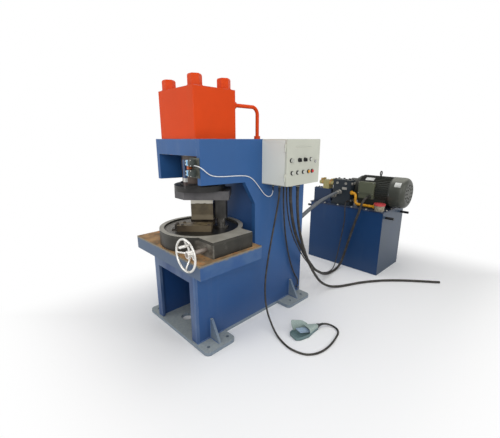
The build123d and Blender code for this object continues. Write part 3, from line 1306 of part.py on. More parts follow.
# Return filter on the lid, and the pipe to it from the manifold
FILTER_X = TANK_X[1] - FILTER_IN[0]
FILTER_Y = TANK_Y[0] + FILTER_IN[1]
RETURN_START = (MANIFOLD_X[1], FILTER_Y, LID_TOP_Z + RETURN_UP)
with BuildPart() as return_line:
    with BuildLine():
        FilletPolyline(
            RETURN_START,
            (MANIFOLD_X[1] + RETURN_OUT, FILTER_Y, LID_TOP_Z + RETURN_UP),
            (MANIFOLD_X[1] + RETURN_OUT, FILTER_Y, LID_TOP_Z + RETURN_LOW),
            (FILTER_X, FILTER_Y, LID_TOP_Z + RETURN_LOW),
            radius=RETURN_BEND,
        )
    with BuildSketch(Plane(origin=RETURN_START, z_dir=ALONG_X)):
        Circle(RETURN_PIPE / 2)
    sweep()
    rod((FILTER_X, FILTER_Y, LID_TOP_Z), ALONG_Z, FILTER_RADIUS, FILTER_HEIGHT)
    rod((FILTER_X, FILTER_Y, LID_TOP_Z + FILTER_HEIGHT), ALONG_Z, FILTER_CAP, FILTER_CAP_HEIGHT)
save(return_line, "return_line")


# Cords and hoses: straight runs joined by the largest tangent arcs that the runs allow
def bend_radii(points):
    """Radius at each corner of a route: a share of the shorter run, over the tangent of half the turn."""
    radii = []
    for before, here, after in zip(points, points[1:], points[2:]):
        arriving = Vector(here) - Vector(before)
        leaving = Vector(after) - Vector(here)
        half_turn = radians(arriving.get_angle(leaving)) / 2
        radii.append(BEND_SHARE * min(arriving.length, leaving.length) / tan(half_turn))
    return radii


CORDS = {
    "pedal_lead": (
        PEDAL_LEAD,
        [
            (*PEDAL_GLAND, GLAND_END_Z),
            (*PEDAL_GLAND, 1130),
            (391, 525, 1010),
            (386, 490, 850),
            (384, 455, 700),
            (385, 420, 550),
            (388, 392, 410),
            (400, 372, 290),
            (428, 352, 185),
            (475, 330, 105),
            (540, 305, 50),
            (615, 270, 18),
            (690, 238, 8),
            (780, 210, 8),
            (851, 203, 8),
            (955, 229, 8),
            (1008, 299, 8),
            (1031, 387, 8),
            (1028, 500, 8),
            (1008, 600, 8),
            (993, 656, 8),
            (962, 695, 8),
            (915, 708, 10),
            (868, 690, 19),
            tuple(PEDAL.from_local_coords((PEDAL_GLAND_END + PEDAL_LEAD_STRAIGHT, 0, PEDAL_LEAD_UP))),
            tuple(PEDAL.from_local_coords((PEDAL_GLAND_END, 0, PEDAL_LEAD_UP))),
        ],
    ),
    "earth_lead": (
        EARTH_LEAD,
        [
            (*EARTH_GLAND, GLAND_END_Z),
            (*EARTH_GLAND, 1130),
            (328, 686, 1040),
            (327, 698, 930),
            (326, 716, 800),
            (325, 742, 670),
            (325, 776, 540),
            (325, 818, 420),
            (325, 866, 310),
            (326, 915, 225),
            (327, 952, 178),
            (*EARTH_TERMINAL[:2], 141),
            EARTH_TERMINAL,
        ],
    ),
    "motor_lead": (
        MOTOR_LEAD,
        [
            (*MOTOR_GLAND, GLAND_END_Z),
            (*MOTOR_GLAND, 1120),
            (441, 655, 1010),
            (441, 690, 860),
            (440, 752, 715),
            (437, 840, 580),
            (430, 940, 455),
            (418, 1050, 340),
            (400, 1165, 235),
            (376, 1290, 162),
            (350, 1415, 89),
            (326, 1540, 40),
            (312, 1660, 18),
            (306, 1770, 15),
            (303, 1850, 32),
            (304, 1905, 75),
            (312, 1940, 150),
            (330, 1955, 250),
            (355, 1959, 370),
            (384, 1959, 490),
            (415, 1953, 600),
            (445, 1944, 700),
            (470, 1930, 760),
            (482, 1925, 815),
            (491, 1936, 862),
            (498, 1962, 899),
            (503, 1998, 920),
            (TERMINAL_GLAND_X, 2036, TERMINAL_GLAND_Z),
            (TERMINAL_GLAND_X, TERMINAL_FRONT_Y - TERMINAL_GLAND_OUT, TERMINAL_GLAND_Z),
        ],
    ),
    "supply_lead": (
        SUPPLY_LEAD,
        [
            (*SUPPLY_GLAND, GLAND_END_Z),
            (*SUPPLY_GLAND, 1120),
            (480, 697, 1010),
            (480, 718, 870),
            (481, 760, 730),
            (481, 820, 590),
            (480, 890, 465),
            (478, 970, 345),
            (477, 1060, 230),
            (480, 1150, 130),
            (493, 1240, 63),
            (520, 1320, 24),
            (560, 1395, 13),
            (605, 1475, 13),
            (648, 1578, 13),
            (700, 1685, 13),
            (765, 1790, 13),
            (845, 1900, 13),
            (945, 2010, 13),
            (1060, 2115, 13),
            (1190, 2220, 13),
            (1321, 2323, 13),
        ],
    ),
    "switch_lead": (
        SWITCH_LEAD,
        [
            (SWITCH_GLAND_END_X, SWITCH_Y, SWITCH_GLAND_Z),
            (290, SWITCH_Y, SWITCH_GLAND_Z),
            (310, -228, 1417),
            (324, -214, 1407),
            (327, -192, 1391),
            (322, -166, 1371),
            (315, -132, 1350),
            (312, -85, 1336),
            (312, -20, 1329),
            (312, 70, 1326),
            (312, 165, 1322),
            (312, 245, 1313),
            (312, 305, 1283),
            (312, 358, 1232),
            (312, 408, 1176),
            (313, 445, 1138),
            (316, 480, 1116),
            (322, 510, 1113),
            (328, 529, 1132),
            (*SWITCH_LEAD_GLAND, 1168),
            (*SWITCH_LEAD_GLAND, GLAND_END_Z),
        ],
    ),
    "valve_lead": (
        VALVE_LEAD,
        [
            (*VALVE_LEAD_GLAND, GLAND_END_Z),
            (*VALVE_LEAD_GLAND, 1120),
            (386, 668, 1010),
            (387, 702, 860),
            (386, 764, 715),
            (383, 852, 580),
            (376, 952, 455),
            (364, 1062, 345),
            (346, 1178, 245),
            (324, 1302, 160),
            (304, 1425, 92),
            (288, 1545, 42),
            (279, 1640, 14),
            (274, 1725, 9),
            (267, 1795, 29),
            (257, 1838, 64),
            (253, 1870, 112),
            (252, 1898, 188),
            (252, 1922, 276),
            (258, 1942, 388),
            (270, 1953, 515),
            (281, 1955, 640),
            (277, 1950, 735),
            (270, 1954, 790),
            (266, 1967, 824),
            (263, 1988, 842),
            (VALVE_LEAD_PORT[0], 2008, LID_TOP_Z + VALVE_LEAD_PORT[1]),
            (VALVE_LEAD_PORT[0], MANIFOLD_FRONT_Y - VALVE_GLAND_OUT, LID_TOP_Z + VALVE_LEAD_PORT[1]),
        ],
    ),
    "pressure_hose": (
        HOSE,
        [
            (PRESSURE_FITTING[0], FRAME_BACK_Y + COLUMN_COLLAR_LENGTH, PRESSURE_FITTING[1]),
            (PRESSURE_FITTING[0], 1122, PRESSURE_FITTING[1]),
            (150, 1200, 755),
            (150, 1300, 797),
            (150, 1420, 840),
            (149, 1545, 879),
            (148, 1665, 909),
            (146, 1785, 931),
            (143, 1890, 945),
            (PRESSURE_PORT[0], 1945, LID_TOP_Z + PRESSURE_PORT[1]),
            (PRESSURE_PORT[0], MANIFOLD_FRONT_Y - MANIFOLD_COLLAR_LENGTH, LID_TOP_Z + PRESSURE_PORT[1]),
        ],
    ),
    "return_hose": (
        HOSE,
        [
            (RETURN_FITTING[0], FRAME_BACK_Y + COLUMN_COLLAR_LENGTH, RETURN_FITTING[1]),
            (RETURN_FITTING[0], 1122, RETURN_FITTING[1]),
            (84, 1200, 705),
            (81, 1295, 741),
            (78, 1420, 788),
            (75, 1545, 829),
            (72, 1665, 862),
            (71, 1785, 886),
            (70, 1888, 899),
            (RETURN_PORT[0], 1942, LID_TOP_Z + RETURN_PORT[1]),
            (RETURN_PORT[0], MANIFOLD_FRONT_Y - MANIFOLD_COLLAR_LENGTH, LID_TOP_Z + RETURN_PORT[1]),
        ],
    ),
}
for name, (diameter, points) in CORDS.items():
    radii = bend_radii(points)
    with BuildPart() as tube:
        with BuildLine() as route:
            FilletPolyline(*points, radius=radii)
        with BuildSketch(Plane(origin=points[0], z_dir=Vector(points[1]) - Vector(points[0]))):
            Circle(diameter / 2)
        sweep()
    length = sum(edge.length for edge in route.edges())
    volume_ratio = tube.part.volume / (pi * diameter**2 / 4 * length)
    print(f"{name}: length {length:.0f}, volume over section times length {volume_ratio:.4f}")
    print(f"  radii {[round(radius) for radius in radii]}, least {min(radii) / diameter:.1f} diameters")
    save(tube, name)
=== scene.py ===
"""Hydraulic angle notching machine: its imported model, dressed in paint, bare steel, plastic and rubber."""

from math import pi, radians, sqrt

import bmesh
import bpy
import numpy as np
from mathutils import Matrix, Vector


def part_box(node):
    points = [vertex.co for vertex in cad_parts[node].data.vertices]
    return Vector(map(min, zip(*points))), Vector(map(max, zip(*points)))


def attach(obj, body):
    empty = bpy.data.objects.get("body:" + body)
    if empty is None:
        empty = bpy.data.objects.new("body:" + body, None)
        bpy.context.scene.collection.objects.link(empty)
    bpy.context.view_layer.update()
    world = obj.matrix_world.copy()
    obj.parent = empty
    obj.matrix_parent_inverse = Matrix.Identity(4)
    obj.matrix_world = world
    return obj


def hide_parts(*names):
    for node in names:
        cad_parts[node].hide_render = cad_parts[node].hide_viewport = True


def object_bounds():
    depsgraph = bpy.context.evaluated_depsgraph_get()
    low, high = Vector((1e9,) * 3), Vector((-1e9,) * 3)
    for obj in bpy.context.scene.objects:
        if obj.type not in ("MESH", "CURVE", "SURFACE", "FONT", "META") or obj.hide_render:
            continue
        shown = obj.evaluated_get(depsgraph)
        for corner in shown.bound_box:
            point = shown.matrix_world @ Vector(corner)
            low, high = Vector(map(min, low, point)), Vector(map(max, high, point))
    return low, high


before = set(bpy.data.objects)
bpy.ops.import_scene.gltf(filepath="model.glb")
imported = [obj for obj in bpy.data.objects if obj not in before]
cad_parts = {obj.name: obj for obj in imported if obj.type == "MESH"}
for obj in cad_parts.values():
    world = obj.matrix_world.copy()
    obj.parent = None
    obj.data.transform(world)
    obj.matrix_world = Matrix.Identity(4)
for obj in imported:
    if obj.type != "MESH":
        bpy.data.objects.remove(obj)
cad_box = [list(corner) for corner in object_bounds()]

# The camera stands at head height in front of the machine's right corner and looks slightly down, with a
# wide lens. The light is a soft studio light from the front, from the right and above, before a white
# backdrop.
scene = bpy.context.scene
scene.view_settings.view_transform = "Standard"
camera = bpy.data.objects.new("camera", bpy.data.cameras.new("camera"))
camera.data.lens = 21.744
camera.data.sensor_width = 36
camera.data.clip_end = 100
camera.location = (2.0653, -1.440, 1.600)
camera.rotation_euler = (radians(90 - 14.84), 0, radians(45.7))
scene.collection.objects.link(camera)
scene.camera = camera


def looked_at(tree):
    """1 for a ray from the camera, off a gloss or through glass, and 0 for the light's own rays."""
    rays = tree.nodes.new("ShaderNodeLightPath")
    total = rays.outputs["Is Camera Ray"]
    for name in ("Is Glossy Ray", "Is Transmission Ray"):
        most = tree.nodes.new("ShaderNodeMath")
        most.operation = "MAXIMUM"
        tree.links.new(total, most.inputs[0])
        tree.links.new(rays.outputs[name], most.inputs[1])
        total = most.outputs[0]
    return total


world = bpy.data.worlds.new("studio")
world.use_nodes = True
scene.world = world
backdrop = world.node_tree.nodes["Background"]
backdrop.inputs["Color"].default_value = (1, 1, 1, 1)
level = world.node_tree.nodes.new("ShaderNodeMapRange")
level.inputs["To Min"].default_value = 0.45
world.node_tree.links.new(looked_at(world.node_tree), level.inputs["Value"])
world.node_tree.links.new(level.outputs[0], backdrop.inputs["Strength"])

for name, place, aim, size, power in (
    ("key_lamp", (3.6, -3.0, 3.2), (0.2, 0.3, 1.0), 3.0, 105),
    ("front_lamp", (-2.2, -3.8, 2.6), (0.0, 0.2, 0.9), 2.6, 45),
    ("right_lamp", (4.6, 1.8, 2.8), (0.5, 2.0, 0.6), 2.4, 40),
    ("top_lamp", (0.4, 1.0, 5.0), (0.3, 0.9, 0.0), 3.0, 50),
):
    lamp = bpy.data.objects.new(name, bpy.data.lights.new(name, "AREA"))
    lamp.data.size = size
    lamp.data.energy = power
    lamp.location = place
    away = np.array(place) - np.array(aim)
    lamp.rotation_euler = (np.arctan2(np.hypot(*away[:2]), away[2]), 0, np.arctan2(away[0], -away[1]))
    scene.collection.objects.link(lamp)


# The floor is a large pale sheet that the shadows fall on. It runs out into the white of the backdrop, a
# metre away from the machine.
def tone(code, level=1.0):
    """Linear colour of a paint chart's code in red, green and blue, brought down to a level."""
    chart = np.array([int(code[i : i + 2], 16) for i in (0, 2, 4)]) / 255
    return (*(level * np.where(chart <= 0.04045, chart / 12.92, ((chart + 0.055) / 1.055) ** 2.4)), 1)


class Finish:
    """One material, and the few steps that the finishes of this machine are mixed from."""

    def __init__(self, name, metal=0.0, gloss=0.5):
        self.material = bpy.data.materials.new(name)
        self.material.use_nodes = True
        self.tree = self.material.node_tree
        self.shader = self.tree.nodes["Principled BSDF"]
        self.set(Metallic=metal, Specular_IOR_Level=gloss)
        where = self.step("TexCoord", {})
        self.place, self.normal = where["Object"], where["Normal"]

    def connect(self, value, socket):
        """Link a worked-out value to a socket, or set a plain one there."""
        if isinstance(value, bpy.types.NodeSocket):
            self.tree.links.new(value, socket)
        else:
            socket.default_value = value

    def step(self, kind, inputs, **settings):
        """Add a node with its settings, connect its inputs, and give its outputs."""
        node = self.tree.nodes.new("ShaderNode" + kind)
        for key, value in settings.items():
            setattr(node, key, value)
        for key, value in inputs.items():
            self.connect(value, node.inputs[key])
        return node.outputs

    def set(self, **sockets):
        """Connect the shader's own sockets, named with underscores for spaces."""
        for key, value in sockets.items():
            self.connect(value, self.shader.inputs[key.replace("_", " ")])

    def grain(self, scale, detail=3.0, stretch=(1, 1, 1), wander=0.0):
        """Noise from 0 to 1 with features of about 1/scale metres, drawn out by a stretch below 1."""
        drawn = self.step("Mapping", {"Vector": self.place, "Scale": stretch})[0]
        settings = {"Vector": drawn, "Scale": scale, "Detail": detail, "Distortion": wander}
        return self.step("TexNoise", settings)[0]

    def share(self, value, low, high):
        """Smooth step of a value, from 0 at low to 1 at high."""
        bounds = {"Value": value, "From Min": low, "From Max": high}
        return self.step("MapRange", bounds, interpolation_type="SMOOTHSTEP")[0]

    def between(self, share, low, high):
        """Value that runs from low to high with a share of 0 to 1."""
        return self.step("MapRange", {"Value": share, "To Min": low, "To Max": high})[0]

    def sum(self, operation, first, second):
        """One sum of two values."""
        return self.step("Math", {0: first, 1: second}, operation=operation)[0]

    def times(self, first, second):
        """Product of two values."""
        return self.sum("MULTIPLY", first, second)

    def axis(self, vector, letter):
        """One part of a place or a normal."""
        return self.step("SeparateXYZ", {0: vector})[letter]

    def along(self, letter, low, high):
        """Smooth step of the place along an axis, in metres."""
        return self.share(self.axis(self.place, letter), low, high)

    def facing(self, letter, low, high):
        """Smooth step of how far a face looks along an axis."""
        return self.share(self.axis(self.normal, letter), low, high)

    def ragged(self, letter, noise, reach):
        """Place along an axis, carried on by a noise over a reach."""
        return self.sum("ADD", self.axis(self.place, letter), self.times(noise, reach))

    def depth(self, low, high):
        """Distances inwards from a box's faces, along the three axes; less than 0 outside the box."""
        low, high = np.array(low), np.array(high)
        away = self.step("VectorMath", {0: self.place, 1: (low + high) / 2}, operation="SUBTRACT")[0]
        out = self.step("VectorMath", {0: away}, operation="ABSOLUTE")[0]
        inward = self.step("VectorMath", {0: (high - low) / 2, 1: out}, operation="SUBTRACT")[0]
        return self.step("SeparateXYZ", {0: inward})[:3]

    def edge(self, low, high, width):
        """1 on a box's edges and 0 at a width from them, by the middle one of the distances to its faces."""
        a, b, c = self.depth(low, high)
        far = self.sum("MINIMUM", self.sum("MAXIMUM", a, b), c)
        return self.share(self.sum("MAXIMUM", self.sum("MINIMUM", a, b), far), width, 0)

    def mix(self, share, first, second):
        """Colour between two colours, each of them mixed before or a chart's code."""
        first, second = (tone(part) if isinstance(part, str) else part for part in (first, second))
        return self.step("Mix", {0: share, 6: first, 7: second}, data_type="RGBA")[2]

    def patches(self, scale, detail, low, high, first, second, wander=0.0):
        """Two colours in patches of a noise, parted by a smooth step of it."""
        return self.mix(self.share(self.grain(scale, detail, wander=wander), low, high), first, second)

    def over(self, share, colour):
        """Lay one more colour over what the finish shows so far."""
        so_far = self.shader.inputs["Base Color"].links[0].from_socket
        self.set(Base_Color=self.mix(share, so_far, colour))

    def relief(self, height, depth):
        """Surface relief from a height of 0 to 1, in metres."""
        self.set(Normal=self.step("Bump", {"Height": height, "Distance": depth, "Strength": 1.0})[0])

    def coat(self, *names):
        """Give CAD nodes this finish."""
        for name in names:
            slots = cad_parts[name].data.materials
            slots.clear()
            slots.append(self.material)


floor = bpy.data.objects.new("floor", bpy.data.meshes.new("floor"))
corners = [(-30, -30, -0.001), (30, -30, -0.001), (30, 30, -0.001), (-30, 30, -0.001)]
floor.data.from_pydata(corners, [], [(0, 1, 2, 3)])
pale = Finish("pale_floor", gloss=0.05)
pale.set(Base_Color=(0.95, 0.95, 0.95, 1), Roughness=0.9)
inward_x, inward_y, _ = pale.depth(*cad_box)
far_off = pale.share(pale.sum("MINIMUM", inward_x, inward_y), -0.10, -1.00)
white = pale.step("Emission", {"Color": (1, 1, 1, 1), "Strength": 1.0})[0]
fade = pale.times(far_off, looked_at(pale.tree))
faded = pale.step("MixShader", {0: fade, 1: pale.shader.outputs[0], 2: white})[0]
pale.connect(faded, pale.tree.nodes["Material Output"].inputs["Surface"])
floor.data.materials.append(pale.material)
scene.collection.objects.link(floor)


# The frame is cut from thick steel plate, welded and painted blue. The paint has a fine orange peel, is
# rubbed thin along the edges, and carries workshop dust near the floor and on what faces up. Painted shade
# darkens it towards the floor and inside the base, and patches of painted sheen lighten the front frame.
def plate_paint(name, colour, dusty, box, peel=0.00012, rub=0.004, floor_dust=0.15, dust_top=0.5):
    """Paint on plate: mottled, dusty low down and on top faces, rubbed to the primer on a box's edges."""
    paint = Finish(name, gloss=0.3)
    ground = paint.patches(2.2, 4, 0.3, 0.7, tone(colour, 0.88), colour)
    streak = paint.share(paint.grain(9, 5, (1, 1, 0.12)), 0.56, 0.80)
    ground = paint.mix(paint.times(streak, 0.10), ground, dusty)
    low_down = paint.times(paint.along("Z", 0.25, 0.0), floor_dust)
    on_top = paint.times(paint.facing("Z", 0.6, 0.9), dust_top)
    speck = paint.between(paint.grain(55, 6), 0.45, 1.35)
    dust = paint.times(paint.sum("MAXIMUM", low_down, on_top), speck)
    ground = paint.mix(dust, ground, dusty)
    worn = paint.times(paint.edge(*box, rub), paint.share(paint.grain(24, 6), 0.48, 0.62))
    dull = paint.between(paint.sum("MAXIMUM", dust, worn), 0.38, 0.75)
    paint.set(Base_Color=paint.mix(paint.times(worn, 0.7), ground, "8d949c"), Roughness=dull)
    paint.relief(paint.grain(420, 2), peel)
    return paint


FRAME_BLUE, FRAME_DUST = "2c588e", "8f9299"
for node in ("left_side_plate", "right_side_plate", "front_frame", "column_back_plate", "head_top_plate"):
    blue = plate_paint(node + "_paint", FRAME_BLUE, FRAME_DUST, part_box(node))
    # Painted shade: darker towards the floor, and darker still on the inner faces low in the base.
    painted_low_shade = blue.times(blue.along("Z", 0.75, 0.15), 0.45)
    from_middle = blue.sum("ABSOLUTE", blue.axis(blue.place, "X"), 0)
    inside = blue.times(blue.share(from_middle, 0.290, 0.280), blue.along("Z", 0.70, 0.62))
    blue.over(blue.sum("MAXIMUM", painted_low_shade, blue.times(inside, 0.75)), "173463")
    if node == "front_frame":
        # Painted sheen: soft pale blue-grey patches over the front frame.
        painted_sheen_patches = blue.share(blue.grain(5, 6, (1, 1, 0.35)), 0.40, 0.72)
        blue.over(blue.times(painted_sheen_patches, 0.38), "7f8fa3")
    blue.coat(node)
plate_paint("column_paint", "33578c", FRAME_DUST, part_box("column_front_plate")).coat("column_front_plate")

# The base is one thick plate with lugs for anchor bolts and a hole burnt through it. It is painted with
# the frame and grey with dust; the hole's wall is bare and darkened to near black with painted shade.
base = plate_paint("base_paint", "566a82", "9fa6a5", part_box("base_plate"), 0.00012, 0.012, 0.45, 0.9)
BASE_HOLE = ((-0.130, -0.180, 0), (-0.046, -0.096, 0.1))
hole_x, hole_y, _ = base.depth(*BASE_HOLE)
in_hole = base.share(base.sum("MINIMUM", hole_x, hole_y), 0.0, 0.003)
# Painted shade: the hole's wall is darkened to near black where it does not face up.
base.over(base.times(in_hole, base.facing("Z", 0.6, 0.3)), "1a1b1c")
base.coat("base_plate")


# Weld beads run along the frame's corners and round the gussets of its lugs. They are laid by hand in
# ripples of weld metal, and painted over with the plates.
def quads(rows, columns, round_rows=False, round_columns=False):
    """Faces of a grid of points, row by row; a round side joins its last line to its first."""
    row = np.arange(rows if round_rows else rows - 1)[:, None]
    column = np.arange(columns if round_columns else columns - 1)[None, :]
    below, beside = (row + 1) % rows * columns, (column + 1) % columns
    corners = (row * columns + column, row * columns + beside, below + beside, below + column)
    return np.stack(np.broadcast_arrays(*corners), -1).reshape(-1, 4)


def swept(path, radii, sides=12):
    """Round bar of a radius at each point of a path, its section square to the path, closed at both ends."""
    path = np.asarray(path, float)
    radii = np.broadcast_to(radii, len(path))
    ahead = np.gradient(path, axis=0)
    ahead /= np.linalg.norm(ahead, axis=1)[:, None]
    level = np.eye(3)[np.argmin(np.abs(ahead).max(0))]
    across = np.cross(ahead, level)
    across /= np.linalg.norm(across, axis=1)[:, None]
    upward = np.cross(across, ahead)
    turn = np.linspace(0, 2 * pi, sides, endpoint=False)[None, :, None]
    ring = np.cos(turn) * across[:, None] + np.sin(turn) * upward[:, None]
    points = path[:, None] + radii[:, None, None] * ring
    first, last = (np.repeat(path[end][None, None], sides, 1) for end in (0, -1))
    points = np.concatenate([first, points, last])
    return points.reshape(-1, 3), quads(len(points), sides, round_columns=True)


def piece(name, shapes, finish, body="machine", replaces=(), sharp=40, bevel=0.0, wall=0.0):
    """One object from several shapes: joined, merged at seams and poles, facing out, riding on a body."""
    starts = np.cumsum([0] + [len(points) for points, _ in shapes])
    faces = [shape_faces + start for (_, shape_faces), start in zip(shapes, starts)]
    mesh = bpy.data.meshes.new(name)
    mesh.from_pydata(np.concatenate([points for points, _ in shapes]), [], np.concatenate(faces).tolist())
    work = bmesh.new()
    work.from_mesh(mesh)
    bmesh.ops.remove_doubles(work, verts=work.verts, dist=1e-6)
    bmesh.ops.dissolve_degenerate(work, edges=work.edges, dist=1e-6)
    bmesh.ops.recalc_face_normals(work, faces=work.faces)
    work.to_mesh(mesh)
    work.free()
    mesh.shade_smooth()
    mesh.set_sharp_from_angle(angle=radians(sharp))
    mesh.materials.append(finish.material)
    made = bpy.data.objects.new(name, mesh)
    scene.collection.objects.link(made)
    if wall:
        skin = made.modifiers.new("wall", "SOLIDIFY")
        skin.thickness = wall
        skin.offset = 0
    if bevel:
        rounded = made.modifiers.new("rounded_edges", "BEVEL")
        rounded.width = bevel
        rounded.segments = 2
        rounded.angle_limit = radians(40)
    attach(made, body)
    if replaces:
        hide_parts(*replaces)


def bead(start, end, radius):
    """Weld bead between two points: a bar whose radius ripples once each 5 mm, and tapers at its ends."""
    start, end = np.array(start, float), np.array(end, float)
    length = np.linalg.norm(end - start)
    along = np.linspace(0, 1, max(8, int(length / 0.0016)))
    ripple = 1 + 0.10 * np.sin(2 * pi * along * length / 0.005) + 0.06 * np.sin(37 * along + 9 * start.sum())
    taper = np.minimum(1, np.minimum(along, 1 - along) * length / 0.006 + 0.4)
    return swept(start + along[:, None] * (end - start), radius * ripple * taper, 10)


BASE_TOP, TABLE_UNDER, FRAME_SIDE, FRAME_FRONT = 0.030, 0.655, 0.305, -0.303
GUSSET_HALF, GUSSET_TOP, LUG_END = 0.011, 0.196, 0.416
SEAM, FILLET, CORNER = 0.007, 0.005, 0.006
beads = []
for side in (-1, 1):
    flank = side * FRAME_SIDE
    for front, back, gusset in ((FRAME_FRONT, -0.026, -0.1625), (0.662, 1.008, 0.8455)):
        beads.append(bead((flank, front, BASE_TOP), (flank, back, BASE_TOP), SEAM))
        for y in (gusset - GUSSET_HALF, gusset + GUSSET_HALF):
            beads.append(bead((flank, y, 0.033), (flank, y, GUSSET_TOP), FILLET))
            beads.append(bead((side * 0.308, y, BASE_TOP), (side * LUG_END, y, BASE_TOP), FILLET))
    beads.append(bead((flank, -0.300, TABLE_UNDER), (flank, 0.238, TABLE_UNDER), SEAM))
    beads.append(bead((side * 0.265, 0.365, 0.768), (side * 0.265, 0.365, 1.515), CORNER))
beads.append(bead((-0.303, FRAME_FRONT, TABLE_UNDER), (0.303, FRAME_FRONT, TABLE_UNDER), SEAM))
weld_paint = plate_paint("weld_paint", FRAME_BLUE, FRAME_DUST, cad_box)
piece("frame_welds", beads, weld_paint)

# The table is a thick plate welded on the frame. Its edges were painted and are now rubbed to a khaki
# grey at their top, their front faces are greyed by a painted sheen, and the table's top is bare and tan with
# rust.
table = Finish("table_top_rust", gloss=0.3)
rust = table.patches(9, 6, 0.35, 0.65, "7c6549", "b28d63")
rust = table.patches(26, 6, 0.58, 0.72, rust, "c0763c")
rust = table.patches(14, 5, 0.64, 0.78, rust, "4a4034", 0.6)
edge_tone = table.patches(7, 5, 0.35, 0.65, "2d5184", "3d5d88")
# Painted sheen: the edge's front faces are mixed half-way to grey.
edge_tone = table.mix(table.times(table.facing("Y", -0.5, -0.8), 0.5), edge_tone, "636a68")
table_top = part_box("table_plate")[1][2]
rubbed = table.share(table.ragged("Z", table.grain(30, 6), 0.030), table_top - 0.006, table_top + 0.010)
edge_tone = table.mix(rubbed, edge_tone, "7f7866")
top_face = table.facing("Z", 0.6, 0.9)
table.set(Base_Color=table.mix(top_face, edge_tone, rust), Roughness=table.between(top_face, 0.5, 0.72))
table.relief(table.grain(160, 5), 0.0003)
table.coat("table_plate")

# The ring housing is a machined casting that is bolted on the table. Its sides are dark with oil and
# handling, and the front of its worm box is stained pale.
housing = Finish("dark_casting", metal=0.3, gloss=0.4)
stain = housing.share(housing.grain(16, 5), 0.58, 0.78)
dark = housing.patches(5, 5, 0.3, 0.7, "201f1c", "37352f")
dark = housing.mix(housing.times(stain, 0.35), dark, "77736b")
WORM_BOX_FRONT, WORM_BOX_LEFT = -0.218, 0.24
worm_front = housing.times(housing.along("Y", WORM_BOX_FRONT + 0.013, WORM_BOX_FRONT), 0.9)
worm_front = housing.times(worm_front, housing.along("X", WORM_BOX_LEFT, WORM_BOX_LEFT + 0.03))
dark = housing.mix(worm_front, dark, housing.patches(20, 6, 0.35, 0.65, "55524b", "837f77"))
housing.set(Base_Color=housing.mix(housing.facing("Z", 0.6, 0.9), dark, "a9a59e"))
housing.set(Roughness=housing.between(stain, 0.45, 0.62))
housing.relief(housing.grain(240, 4), 0.0002)
housing.coat("turntable_housing")

# The housing's cover is a steel ring that keeps the turntable down. It is ground flat on its top and left
# dark at its rim.
cover = Finish("ground_cover", metal=0.15, gloss=0.4)
turning = cover.grain(60, 4, wander=0.4)
bright = cover.patches(7, 5, 0.3, 0.7, "8f8b80", "aaa69b")
bright = cover.mix(cover.times(cover.share(turning, 0.5, 0.8), 0.35), bright, "8a857d")
rim = cover.patches(5, 5, 0.3, 0.7, "25241f", "3c3a34")
cover.set(Base_Color=cover.mix(cover.facing("Z", 0.6, 0.9), rim, bright), Roughness=0.5)
cover.relief(turning, 0.00008)
cover.coat("housing_cover")

# The turntable is turned from steel and runs in the housing. It is grey and speckled on its left, and
# dark and oily on its right.
disc = Finish("oily_turntable", metal=0.3, gloss=0.4)
wet = disc.share(disc.ragged("X", disc.grain(6, 5, wander=0.5), 0.5), 0.13, 0.30)
disc.set(Base_Color=disc.mix(wet, disc.patches(110, 4, 0.35, 0.65, "57534d", "938f87"), "1f1e1c"))
disc.set(Roughness=disc.between(wet, 0.55, 0.3))
disc.relief(disc.grain(300, 3), 0.00012)
disc.coat("turntable")


# The dies are tool steel, sawn and ground, and bolted on the turntable. The guide posts and the worm
# shaft are turned, and all are brown with old oil where no tool has rubbed them.
def tool_steel(name, dark, light, rough, metal=0.3, drawn=(1, 1, 1)):
    """Tool steel: two browns or greys in patches, with fine grinding lines drawn out along an axis."""
    steel = Finish(name, metal)
    lines = steel.grain(220, 3, drawn)
    colour = steel.patches(11, 6, 0.32, 0.68, dark, light)
    steel.set(Base_Color=steel.mix(steel.times(lines, 0.3), colour, dark), Roughness=rough)
    steel.relief(lines, 0.00008)
    return steel


die = Finish("die_steel", metal=0.15, gloss=0.35)
die_side = die.patches(11, 6, 0.32, 0.68, "211a14", "4d4131")
die_side = die.mix(die.times(die.along("X", 0.02, 0.10), 0.6), die_side, "7a6d55")
die_flat = die.patches(18, 5, 0.3, 0.7, "4a3e2e", "857657")
die.set(Base_Color=die.mix(die.facing("Z", 0.6, 0.9), die_side, die_flat), Roughness=0.5)
die.relief(die.grain(220, 3), 0.0001)
die.coat("die_blocks")
DRAWN_UP = (1, 1, 0.05)
tool_steel("post_steel", "3a3835", "6d6a66", 0.25, 0.6, DRAWN_UP).coat("guide_posts", "motor_rotor")
tool_steel("worm_steel", "6b615a", "948a81", 0.4, 0.3, (1, 0.05, 1)).coat("worm_shaft")
tool_steel("sleeve_steel", "22211f", "3b3936", 0.28, 0.4, DRAWN_UP).coat("guide_sleeves")

# The upper shoe is a plate of tool steel that slides on the posts. The ram's flange carries it by a
# swivel ring and has a bar on its right for the limit switches: blue paint above, then bare, and brown at
# its foot.
shoe = tool_steel("shoe_steel", "444345", "5a5859", 0.55, 0.1, (1, 1, 0.1))
